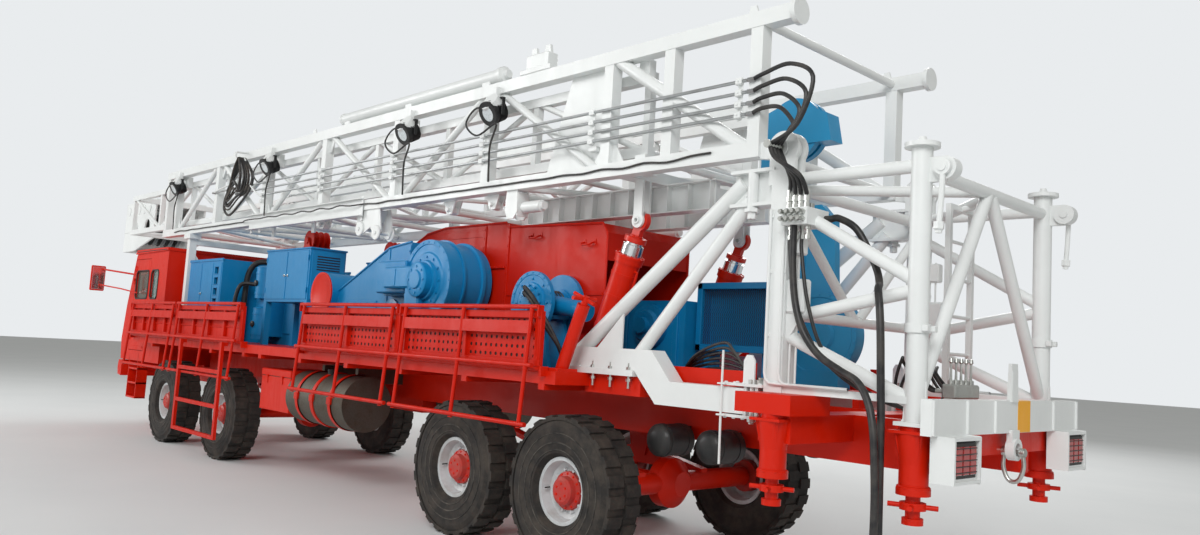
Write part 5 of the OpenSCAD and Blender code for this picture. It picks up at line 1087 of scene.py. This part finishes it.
PUNCH_PITCH, PUNCH_R = 0.074, 0.0165
tile = hole_tile(PUNCH_PITCH, PUNCH_R)
sheet_tree = punched_tree()
# The near-black sheet set just behind each punched sheet is painted shade: the holes show it as the tray's
# dark inside.
shadow_black = enamel("tray_inside_shadow", "#2a0f0d", dust=0.3, rough=0.6)
for pair, spans in panels.items():
    for hand, side in (("left", 1), ("right", -1)):
        body = pair + "_" + hand
        bm, dark_bm = bmesh.new(), bmesh.new()
        for x0, x1, punched in spans:
            for k in range(3 if punched else 5):
                n = 2 if punched else 4
                x = x0 + 0.05 + (x1 - x0 - 0.1) * k / n
                plate(bm, about(x, 0.025), (side * TRAY_SKIN_Y, side * (TRAY_FACE_Y + 0.006)),
                    (HINGE_Z + 0.06, HINGE_Z + WALK_W - 0.04), 0.004)
            plate(bm, (x0 - 0.004, x1 + 0.004), (side * (TRAY_FACE_Y - 0.003), side * (TRAY_FACE_Y + 0.008)),
                (HINGE_Z + WALK_W - 0.06, HINGE_Z + WALK_W + 0.004), 0.003)
            plate(bm, (x0 - 0.004, x1 + 0.004), (side * (TRAY_FACE_Y - 0.003), side * (TRAY_FACE_Y + 0.008)),
                (HINGE_Z + 0.018, HINGE_Z + 0.07), 0.003)
            if not punched:
                for z in (HINGE_Z + 0.2, HINGE_Z + 0.31):
                    sweep(bm, [at(x0 + 0.05, side * (TRAY_SKIN_Y + 0.006), z),
                        at(x1 - 0.05, side * (TRAY_SKIN_Y + 0.006), z)], 0.01, 6)
            else:
                # Painted shade behind the punched holes.
                plate(dark_bm, (x0 + 0.052, x1 - 0.052), (side * TRAY_SKIN_Y, side * (TRAY_SKIN_Y + 0.002)),
                    (HINGE_Z + 0.062, HINGE_Z + WALK_W - 0.042), 0.0005)
        finish_piece(body + "_ribs", bm, panel_enamel, body)
        if spans[0][2]:
            finish_piece(body + "_backing", dark_bm, shadow_black, body)
        else:
            dark_bm.free()
        for n, (x0, x1, punched) in enumerate(spans):
            if not punched:
                continue
            columns, rows = int((x1 - x0 - 0.11) / PUNCH_PITCH), int((WALK_W - 0.11) / PUNCH_PITCH)
            holder = bpy.data.objects.new(body + "_holder", bpy.data.meshes.new("holder"))
            bpy.context.scene.collection.objects.link(holder)
            modifier = holder.modifiers.new("punch", "NODES")
            modifier.node_group = sheet_tree
            given = {"Tile": tile, "Columns": columns, "Rows": rows, "Pitch": PUNCH_PITCH,
                "Paint": panel_enamel}
            for socket in sheet_tree.interface.items_tree:
                if socket.item_type == "SOCKET" and socket.in_out == "INPUT" and socket.name in given:
                    modifier[socket.identifier] = given[socket.name]
            holder.update_tag()
            bpy.context.view_layer.update()
            graph = bpy.context.evaluated_depsgraph_get()
            mesh = bpy.data.meshes.new_from_object(holder.evaluated_get(graph))
            holder.modifiers.remove(modifier)
            bpy.data.objects.remove(holder)
            middle = at((x0 + x1) / 2, side * (TRAY_SKIN_Y + 0.0045), HINGE_Z + 0.05 + (WALK_W - 0.08) / 2)
            mesh.transform(Matrix.Translation(middle)
                @ Matrix.Rotation(math.radians(-90 if side > 0 else 90), 4, "X"))
            punched_piece = bpy.data.objects.new("%s_punched_sheet_%d" % (body, n + 1), mesh)
            bpy.context.scene.collection.objects.link(punched_piece)
            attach(punched_piece, body)
bpy.data.objects.remove(tile)

for pair, spans in panels.items():
    for hand, side in (("left", 1), ("right", -1)):
        body = pair + "_" + hand
        rail = "handrail_" + body[8:]
        bm = bmesh.new()
        for x0, x1, punched in spans:
            for x in (x0 + 0.098, (x0 + x1) / 2, x1 - 0.098):
                for share in (0.0, 0.5, 1.0):
                    c = at(x, side * (RAIL_TOP_Y + share * 0.07), RAIL_TOP_Z - share * 0.975)
                    turned(bm, c - Vector((0, 0, 0.026)), (0, side * 0.065, -1.0),
                        [(-0.002, 0.0), (-0.002, 0.0225), (0.006, 0.0235), (0.01, 0.0)], 12)
        finish_piece(rail + "_welds", bm, panel_enamel, rail)


# ---- Raising cylinders ----------------------------------------------------------------
# Hard-chromed stages in painted barrels; the cap and the open saddle on the rod are painted
# too. A steel pipe feeds each barrel, and the saddle hooks over a tube under the mast.
RAISE_FOOT, RAISE_HEAD, RAISE_Y = at(0.31, 0.0, 1.68), at(-0.16, 0.0, 2.93), 0.72
raise_axis = (RAISE_HEAD - RAISE_FOOT).normalized()
raise_aside = Vector((-raise_axis.z, 0.0, raise_axis.x))
rod_finish, t, where = empty_material("rod_chrome_and_red_enamel")
along = add_node(t, "ShaderNodeVectorMath", {0: where, 1: tuple(raise_axis)},
    operation="DOT_PRODUCT").outputs["Value"]
painted = maths(t, "GREATER_THAN", along, raise_axis.dot(RAISE_FOOT) + 1.138)
coat = mixed(t, noise(t, where, 6.0, 6.0), "#b81a04", "#e02606")
close_surface(t, {
    "Base Color": mixed(t, painted, "#d9dcde", coat), "Metallic": remap(t, painted, 0.0, 1.0, 1.0, 0.0),
    "Roughness": remap(t, painted, 0.0, 1.0, 0.14, 0.36)})
repaint("raise_rods", rod_finish)


def on_barrel(side, along, off):
    """A point beside a raising cylinder: along it, and off its axis to the rear."""
    return RAISE_FOOT + along * raise_axis + off * raise_aside + Vector((0, side * RAISE_Y, 0))


bm, hook_bm = bmesh.new(), bmesh.new()
for side in (-1, 1):
    sweep(bm, [on_barrel(side, 0.16, 0.1), on_barrel(side, 0.16, 0.145), on_barrel(side, 0.2, 0.148),
        on_barrel(side, 0.86, 0.148), on_barrel(side, 0.9, 0.145), on_barrel(side, 0.9, 0.1)], 0.013, 10)
    for reach in (0.32, 0.62, 0.82):
        hoop(bm, on_barrel(side, reach, 0.0), raise_axis, 0.03, 0.112, 0.1195, 40)
    hoop(bm, on_barrel(side, 0.995, 0.0), raise_axis, 0.022, 0.1, 0.134, 40)
    hoop(hook_bm, at(-0.16, side * RAISE_Y - 0.075, 2.93), (0, 1, 0), 0.15, 0.019, 0.0295, 24, True)
finish_piece("raising_barrel_pipes", bm, red_enamel, "raise_barrels")
finish_piece("raising_hook_tubes", hook_bm, white_enamel, "mast")
set_bolts("raising_gland_bolts", [b for side in (-1, 1)
    for b in ring(on_barrel(side, 1.017, 0.0), raise_axis, 0.118, 10)], 0.009, red_enamel, "raise_barrels")


# ---- Mast base: manifold, canisters, studs and hangers ---------------------------------
# Plated fittings crowd the manifold; welded steel brackets, pipes and hung links are painted
# white with the base. The girder's flanges are drawn together by long studs.
fitting_steel = bare_metal("zinc_plated_fittings", "#c6c8c4", 0.28, stain_share=0.3)
bm = bmesh.new()
for i in range(4):
    x = -1.965 - 0.048 * i
    turned(bm, at(x, 1.12, MANIFOLD_TOP - 0.004), (0, 0, 1),
        [(0, 0.0), (0, 0.021), (0.03, 0.021), (0.032, 0.017), (0.05, 0.017), (0.052, 0.022), (0.085, 0.022),
        (0.088, 0.018), (0.135, 0.018), (0.135, 0.0)], 6)
    for z in (2.765, 2.815):
        turned(bm, at(x, 1.156, z), (0, 1, 0),
            [(0, 0.0), (0, 0.018), (0.03, 0.018), (0.032, 0.012), (0.055, 0.012), (0.056, 0.019),
            (0.08, 0.016), (0.08, 0.0)], 6)
    turned(bm, at(x, 1.09, 2.734), (0, 0, -1),
        [(0, 0.0), (0, 0.018), (0.03, 0.018), (0.032, 0.013), (0.07, 0.013), (0.071, 0.019), (0.1, 0.019),
        (0.1, 0.0)], 6)
    plate(bm, about(x, 0.019), (1.05, 1.09), (MANIFOLD_TOP - 0.002, MANIFOLD_TOP + 0.035), 0.004)
turned(bm, at(PIVOT_X, 1.106, PIVOT_Z), (0, 1, 0),
    [(0, 0.0), (0, 0.036), (0.012, 0.036), (0.014, 0.024), (0.15, 0.024), (0.152, 0.03), (0.166, 0.03),
    (0.166, 0.0)], 18)
finish_piece("manifold_fittings", bm, fitting_steel)
bm = bmesh.new()
for i in range(2):
    x = -1.965 - 0.096 * i
    run_hose(bm, 0.013, 10, [(x, 1.09, 2.65), (x, 1.09, 2.55), (x - 0.06, 1.085, 2.2),
        (-2.16 - 0.05 * i, 1.02, 1.88), (-2.34, 0.86 - 0.04 * i, 1.66), (-2.6, 0.64 - 0.05 * i, 1.52),
        (-2.78, 0.5 - 0.06 * i, 1.56), (-2.84, 0.5 - 0.06 * i, 1.65)], 7)
finish_piece("manifold_to_valve_hoses", bm, hose_rubber)

bm = bmesh.new()
for side in (-1, 1):
    for x in (-1.955, -2.005):
        rod(bm, at(x, side * 1.03, 1.612), (0, 0, 1), 1.09, 0.008, 8)
    plate(bm, (-2.05, -1.936), about(side * 1.03, 0.045), (2.53, 2.69), 0.012)
    plate(bm, (-2.085, -1.936), about(side * 1.03, 0.05), (2.12, 2.36), 0.014)
    slab(bm, [(-2.075, 2.121), (-1.936, 2.121), (-1.936, 1.96), (-1.97, 1.96)], about(side * 1.03, 0.03))
    for x, turn_x in ((-1.8, -1.84), (-1.918, -1.955)):
        sweep(bm, [at(x, side * 1.1, 2.86), at(x, side * 1.1, 1.7), at(x - 0.01, side * 1.1, 1.655),
            at(turn_x, side * 1.1, 1.628), at(turn_x - 0.05, side * 1.098, 1.624),
            at(-2.46, side * 1.098, 1.624)], 0.011, 8)
        for z in (1.95, 2.4, 2.8):
            plate(bm, about(x, 0.02), (side * 1.09 - 0.008, side * 1.09 + 0.004), (z, z + 0.03), 0.002)
    slab(bm, [(-1.705, 1.607), (-1.61, 1.607), (-1.61, 1.775), (-1.635, 1.815), (-1.68, 1.815),
        (-1.705, 1.775)], about(side * 1.082, 0.008))
    turned(bm, at(-1.595, side * 1.05, 2.884), (0, 0, -1),
        [(0, 0.0), (0, 0.058), (0.025, 0.058), (0.027, 0.034), (0.075, 0.034), (0.08, 0.02), (0.08, 0.0)], 6)
    hoop(bm, at(-1.86, side * 1.1, 3.3), (0, side, 0), 0.008, 0.046, 0.062)
    # Hung link beside the rear leg's ear, with its eye, rod and square nut.
    ear = at(-3.056, side * 1.075, 3.044)
    rod(bm, ear - Vector((0, side * 0.12, 0)), (0, side, 0), 0.145, 0.028, 18)
    hoop(bm, ear - Vector((0, side * 0.016, 0)), (0, side, 0), 0.032, 0.026, 0.052)
    sweep(bm, [ear - Vector((0, 0, 0.04)), ear - Vector((-0.006, 0, 0.2)), ear - Vector((-0.016, 0, 0.36))],
        0.018, 10)
    turned(bm, ear - Vector((-0.016, 0, 0.345)), (0.05, 0, -1),
        [(0, 0.0), (0, 0.034), (0.045, 0.034), (0.055, 0.022), (0.07, 0.022), (0.07, 0.0)], 6)
    turned(bm, at(-2.886, side * 1.01, 3.222), (0, 0, 1),
        [(0, 0.0), (0, 0.066), (0.012, 0.066), (0.02, 0.03), (0.045, 0.022), (0.045, 0.0)], 24)
    for a in (-0.5, 0.5):
        plate(bm, (-2.886 - 0.1, -2.886 - 0.06), (side * 1.01 + a * 0.1 - 0.02, side * 1.01 + a * 0.1 + 0.02),
            (2.02, 2.06), 0.004)
    sweep(bm, [at(-1.45, side * 1.128, 1.84), at(-1.45, side * 1.128, 1.4), at(-1.455, side * 1.128, 1.02)],
        0.009, 8)
    for z in (1.592, 1.366):
        plate(bm, (-1.485, -1.415), (side * 1.11 - 0.004, side * 1.11 + 0.032), (z, z + 0.012), 0.002)
finish_piece("base_pipes_links_and_brackets", bm, white_enamel)

places = []
bm = bmesh.new()
for side in (-1, 1):
    for y in (0.97, 1.07):
        for z, out in ((1.64, 1), (1.34, -1)):
            turned(bm, at(-1.68, side * y, z - out * 0.03), (0, 0, out),
                [(0, 0.0), (0, 0.03), (0.028, 0.03), (0.034, 0.018), (0.045, 0.018), (0.045, 0.0)], 6)
    for x in (-0.46, -0.25, -0.04):
        rod(bm, at(x, side * 1.082, 1.49), (0, 0, 1), 0.205, 0.012, 10)
        for z in (1.638, 1.545):
            rod(bm, at(x, side * 1.082, z), (0, 0, 1), 0.024, 0.024, 6)
    places += [(at(x, side * y, 1.609), (0, 0, 1)) for x in (-1.46, -1.54, -1.62, -1.76)
        for y in (0.955, 1.09)]
    places += [(at(x, side * y, 1.362), (0, 0, -1)) for x in (-1.46, -1.54, -1.62) for y in (0.955, 1.09)]
    places += [(at(x, side * 0.935, 1.64), (0, 0, 1)) for x in (-0.46, -0.25, -0.04, 0.12, 0.28)]
    places += [(at(x, side * 1.092, 1.64), (0, 0, 1)) for x in (0.12, 0.28)]
finish_piece("girder_studs", bm, fitting_steel)
set_bolts("girder_bolts", places, 0.013, white_enamel)


# ---- Rear end: lamps, shackle, stripe and valve bank ------------------------------------
# Lamps in rubber housings with ribbed acrylic lenses; a forged shackle, hot-dip galvanised.
# The levelling valves are cast and plated, with rubber hoses that loop back to them.
BEAM_FACE, LAMP_Y = -3.086, 0.925
bm, lens_bm, white_bm = bmesh.new(), bmesh.new(), bmesh.new()
for side in (-1, 1):
    plate(bm, (-3.172, -3.075), about(side * LAMP_Y, 0.158), (1.134, 1.366), 0.012)
    for k in range(3):
        y = side * LAMP_Y + (k - 1) * 0.097
        plate(lens_bm, (-3.181, -3.168), about(y, 0.042), (1.165, 1.335), 0.006)
    for k in range(5):
        plate(bm, (-3.186, -3.17), about(side * LAMP_Y, 0.14), (1.178 + k * 0.036, 1.184 + k * 0.036), 0.002)
finish_piece("tail_lamp_housings", bm, plastic_black)
finish_piece("tail_lamp_lenses", lens_bm, lamp_red)
yellow_enamel = enamel("warning_yellow_enamel", "#ffb300", dust=0.15)
bm = bmesh.new()
plate(bm, (BEAM_FACE - 0.002, BEAM_FACE + 0.01), (-0.29, -0.075), (1.392, 1.608), 0.001)
plate(bm, (BEAM_FACE + 0.002, BEAM_FACE + 0.068), (-0.29, -0.075), (1.6, 1.6115), 0.001)
finish_piece("beam_warning_stripe", bm, yellow_enamel)
for y in (-1.185, -0.72, 0.3, 0.72, 1.185):
    plate(white_bm, (BEAM_FACE - 0.014, BEAM_FACE + 0.004), about(y, 0.012), (1.394, 1.606), 0.003)
slab(white_bm, [(-3.098, 1.6), (-3.06, 1.6), (-3.068, 1.86), (-3.09, 1.86)], (-0.052, 0.052))
for side in (-1, 1):
    plate(white_bm, (-3.183, -3.03), (side * LAMP_Y - 0.196, side * LAMP_Y - 0.184), (1.1, 1.395), 0.003)
finish_piece("beam_ribs_and_post", white_bm, white_enamel)
bm = bmesh.new()
run_hose(bm, 0.015, 12, [(-3.15, 0, 1.262), (-3.16, 0, 1.17), (-3.132, 0, 1.085), (-3.091, 0, 1.062),
    (-3.05, 0, 1.085), (-3.022, 0, 1.17), (-3.032, 0, 1.262)], 6)
turned(bm, at(-3.172, 0, 1.262), (1, 0, 0), [(0, 0.0), (0, 0.026), (0.014, 0.026), (0.016, 0.016),
    (0.165, 0.016), (0.165, 0.0)], 12)
for dx in (-0.059, 0.059):
    rod(bm, at(-3.091 + dx - 0.015, 0, 1.262), (1, 0, 0), 0.03, 0.032, 18)
finish_piece("tow_shackle", bm, fitting_steel)

bm, loop_bm = bmesh.new(), bmesh.new()
plate(bm, (-2.96, -2.83), (0.2, 0.6), (1.428, 1.445), 0.004)
for y in (0.23, 0.57):
    plate(bm, (-2.925, -2.865), about(y, 0.012), (1.44, 1.62), 0.003)
plate(bm, (-2.945, -2.845), (0.215, 0.585), (1.6, 1.7), 0.012)
for k in range(5):
    y = 0.25 + k * 0.075
    turned(bm, at(-2.895, y, 1.695), (0, 0, 1),
        [(0, 0.0), (0, 0.02), (0.03, 0.02), (0.035, 0.009), (0.14, 0.006), (0.15, 0.016), (0.175, 0.012),
        (0.178, 0.0)], 12)
    rod(bm, at(-2.845, y, 1.65), (1, 0, 0), 0.05, 0.016, 6)
    rise = 0.1 + 0.05 * (k % 3)
    run_hose(loop_bm, 0.011, 8, [(-2.8, y, 1.65), (-2.74, y, 1.66), (-2.66 + 0.02 * k, y + 0.02, 1.66 + rise),
        (-2.6, y + 0.05 * (k - 2), 1.7 + rise), (-2.52, y + 0.03, 1.58 + 0.5 * rise), (-2.6, y, 1.47),
        (-2.8, y, 1.44)], 7)
finish_piece("levelling_valve_bank", bm, fitting_steel)
finish_piece("valve_bank_hoses", loop_bm, hose_rubber)


# ---- Jacks, tanks and what hangs under the deck ----------------------------------------
# Sleeves are welded tube with gussets and bolted collars; tanks are rolled sheet in strip
# straps. All of it is sprayed, with more dust low down.
bm = bmesh.new()
places = []
for x, y in ((-2.02, 1.27), (-2.886, 1.01)):
    for side in (-1, 1):
        for k in range(4):
            a = math.pi / 4 + k * math.pi / 2
            out = Vector((math.cos(a), math.sin(a), 0.0))
            foot = at(x, side * y, 0.0)
            flat = out.cross(Vector((0, 0, 1))) * 0.006
            corners = [foot + r * out + Vector((0, 0, z)) for r,
                z in ((0.085, 1.2), (0.128, 1.384), (0.085, 1.384))]
            near = [bm.verts.new(c + flat) for c in corners]
            far = [bm.verts.new(c - flat) for c in corners]
            bm.faces.new(near)
            bm.faces.new(list(reversed(far)))
            for m in range(3):
                bm.faces.new((near[m], far[m], far[(m + 1) % 3], near[(m + 1) % 3]))
        turned(bm, at(x, side * y, 1.05), (0, 0, 1),
            [(0, 0.088), (0, 0.102), (0.012, 0.102), (0.018, 0.092), (0.018, 0.088)], 32)
        places += ring(at(x, side * y, 1.052), (0, 0, 1), 0.097, 8)
finish_piece("jack_sleeve_gussets", bm, red_enamel)
set_bolts("jack_sleeve_bolts", places, 0.009, red_enamel)

bm, dark_bm = bmesh.new(), bmesh.new()
for side in (-1, 1):
    for x in (3.88, 4.3, 4.68):
        hoop(bm, at(x - 0.03, side * 1.08, 1.02), (1, 0, 0), 0.06, 0.308, 0.3235, 56)
        plate(bm, about(x, 0.045), (side * 1.39 - 0.012, side * 1.39 + 0.022), (1.0, 1.08), 0.005)
    turned(dark_bm, at(4.3, side * 1.16, 1.3), (0, 0, 1),
        [(0, 0.0), (0, 0.05), (0.045, 0.05), (0.05, 0.056), (0.075, 0.056), (0.08, 0.05), (0.08, 0.0)], 20)
    for x in (-0.62, -1.14):
        for y in (0.6, 0.8):
            hoop(dark_bm, at(x, side * y, 1.09), (0, side, 0), 0.03, 0.128, 0.1345, 40)
        turned(dark_bm, at(x, side * 0.858, 1.09), (0, side, 0),
            [(0, 0.128), (0.004, 0.125), (0.03, 0.105), (0.045, 0.06), (0.05, 0.0)], 40)
finish_piece("fuel_tank_straps", bm, red_enamel)
finish_piece("tank_caps_and_bands", dark_bm, black_enamel)


# ---- Engine, radiator box, cabinets and hose reel --------------------------------------
# Sheet-steel doors with pressed seams, hinges and quarter-turn latches; the filters are spun
# canisters in band clamps. The exhaust has a perforated heat shield of dark steel.
bm, dark_bm, latch_bm = bmesh.new(), bmesh.new(), bmesh.new()
for side in (-1, 1):
    face = side * 1.02
    for x0, x1 in ((5.43, 6.025), (6.045, 6.65)):
        plate(bm, (x0, x1), (face - 0.004, face + 0.009), (2.215, 2.85), 0.005)
        for z in (2.3, 2.72):
            rod(bm, at(x0 if x0 < 6 else x1, face + side * 0.012, z), (0, 0, 1), 0.07, 0.01, 10)
    for x in (5.99, 6.08):
        turned(latch_bm, at(x, face + side * 0.008, 2.53), (0, side, 0),
            [(0, 0.0), (0, 0.018), (0.01, 0.018), (0.012, 0.008), (0.024, 0.008), (0.024, 0.0)], 14)
    plate(bm, (5.385, 5.402), about(side * 0.77, 0.23), (2.21, 2.85), 0.004)
    plate(bm, (5.38, 6.7), about(side * 0.77, 0.262), (2.868, 2.892), 0.006)
    # The black strips on the cabinet's end panel are painted shade in its vent slots.
    for k in range(6):
        plate(dark_bm, (5.379, 5.388), about(side * 0.77, 0.16), (2.6 + k * 0.034, 2.614 + k * 0.034), 0.001)
    # Radiator box: rolled top flange, door seams, and black strips set back in its vents, painted shade for
    # the dark inside.
    plate(bm, (8.135, 9.465), about(side * 1.05, 0.012), (2.79, 2.832), 0.006)
    for x0, x1 in ((8.175, 8.27), (8.5, 8.93), (8.95, 9.43)):
        plate(bm, (x0, x1), (side * 1.05 - 0.004, side * 1.05 + 0.007), (1.66, 2.765), 0.004)
    for k in range(4):
        plate(dark_bm, (8.305, 8.435), about(side * 1.005, 0.004), (2.125 + k * 0.16, 2.215 + k * 0.16),
            0.001)
        for z in (2.113, 2.222):
            plate(bm, (8.292, 8.448), (side * 1.05 - 0.004, side * 1.05 + 0.01),
                (z + k * 0.16 - 0.003, z + k * 0.16 + 0.005), 0.002)
    turned(latch_bm, at(8.9, side * 1.056, 2.3), (0, side, 0),
        [(0, 0.0), (0, 0.02), (0.012, 0.02), (0.014, 0.008), (0.03, 0.008), (0.03, 0.0)], 14)
    # Filter canisters with their bands, lids and elbows.
    for low in (1.65, 2.25):
        for z in (0.06, 0.36):
            hoop(bm, at(7.55, side * 0.62, low + z), (0, 0, 1), 0.03, 0.146, 0.156, 40, True)
        turned(bm, at(7.55, side * 0.62, low + 0.444), (0, 0, 1),
            [(0, 0.0), (0, 0.154), (0.012, 0.154), (0.03, 0.12), (0.045, 0.04), (0.045, 0.0)], 40)
        turned(dark_bm, at(7.55, side * 0.76, low + 0.22), (0, side, 0),
            [(0, 0.0), (0, 0.045), (0.03, 0.045), (0.04, 0.03), (0.04, 0.0)], 20)
    run_hose(dark_bm, 0.042, 16, [(8.06, side * 0.72, 1.6), (8.05, side * 0.72, 2.2),
        (8.03, side * 0.7, 2.62), (7.95, side * 0.6, 2.8), (7.8, side * 0.42, 2.78),
        (7.7, side * 0.3, 2.52)], 6)
    run_hose(dark_bm, 0.03, 14, [(7.99, side * 0.9, 1.6), (7.98, side * 0.9, 2.1), (7.94, side * 0.84, 2.44),
        (7.82, side * 0.66, 2.46)], 6)
    plate(bm, (6.45, 7.25), (side * 0.436 - 0.01, side * 0.436 + 0.012), (1.75, 2.35), 0.01)
for k in range(4):
    plate(bm, (6.45 + k * 0.34, 6.73 + k * 0.34), (-0.3, 0.3), (2.495, 2.585), 0.015)
hoop(dark_bm, at(7.0, 0, 2.6), (0, 0, 1), 0.33, 0.094, 0.108, 36, True)
# In the black piece the vent strips are painted shade; the pipes, elbows and heat shield are black parts.
finish_piece("cabinet_and_radiator_doors", bm, blue_enamel)
finish_piece("vents_pipes_and_shield", dark_bm, black_enamel)
finish_piece("door_latches", latch_bm, fitting_steel)
set_bolts("canister_bolts", [b for side in (-1, 1) for low in (2.094, 2.694)
    for b in ring(at(7.55, side * 0.62, low + 0.012), (0, 0, 1), 0.14, 8)], 0.007, blue_enamel)

bm = bmesh.new()
for side in (-1, 1):
    turned(bm, at(6.05, side * 0.5, 3.035), (0, side, 0), [
        (0, 0.0), (0, 0.14), (0.012, 0.14), (0.014, 0.07), (0.075, 0.07), (0.077, 0.14), (0.089, 0.14),
        (0.091, 0.07), (0.152, 0.07),
        (0.154, 0.14), (0.166, 0.14), (0.168, 0.07), (0.229, 0.07), (0.231, 0.14), (0.245, 0.14),
        (0.248, 0.05), (0.285, 0.045), (0.285, 0.0)], 36)
    for y in (0.475, 0.765):
        slab(bm, [(5.93, 2.888), (6.17, 2.888), (6.09, 3.06), (6.01, 3.06)], about(side * y, 0.006))
    plate(bm, (5.92, 6.18), about(side * 0.62, 0.16), (2.886, 2.898), 0.003)
    # Locker between the cab and the radiator, with its door and latch.
    plate(bm, (9.662, 9.882), about(side * 0.74, 0.19), (1.592, 2.78), 0.012)
    plate(bm, (9.69, 9.86), (side * 0.93 - 0.003, side * 0.93 + 0.008), (1.66, 2.72), 0.004)
finish_piece("hose_reels_and_lockers", bm, red_enamel)


# ---- Battery box and the cables stowed on the shelf ------------------------------------
# The box is red sheet steel with a lifting lid; the cables are rubber, laid in arcs behind the
# shelf's curb.
bm = bmesh.new()
for side in (-1, 1):
    plate(bm, (5.052, 5.868), about(side * 0.96, 0.348), (0.793, 1.215), 0.006)
    plate(bm, (5.046, 5.874), about(side * 0.96, 0.353), (1.222, 1.308), 0.008)
    for x in (5.25, 5.67):
        rod(bm, at(x, side * 1.316, 1.218), (1, 0, 0), 0.05, 0.012, 12)
        plate(bm, (x + 0.01, x + 0.04), about(side * 1.313, 0.004), (1.13, 1.24), 0.002)
finish_piece("battery_box_shells", bm, red_enamel)
bm = bmesh.new()
for k in range(7):
    run_hose(bm, 0.011, 8, [(-0.62 - 0.02 * k, 0.6 + 0.03 * k, 1.59),
        (-0.74 - 0.03 * k, 0.64 + 0.03 * k, 1.63 + 0.026 * k),
        (-1.08 - 0.02 * k, 0.7 + 0.02 * k, 1.66 + 0.04 * k),
        (-1.44 + 0.02 * k, 0.74 + 0.015 * k, 1.63 + 0.034 * k), (-1.62 + 0.02 * k, 0.8, 1.59)], 6)
finish_piece("stowed_shelf_cables", bm, hose_rubber)
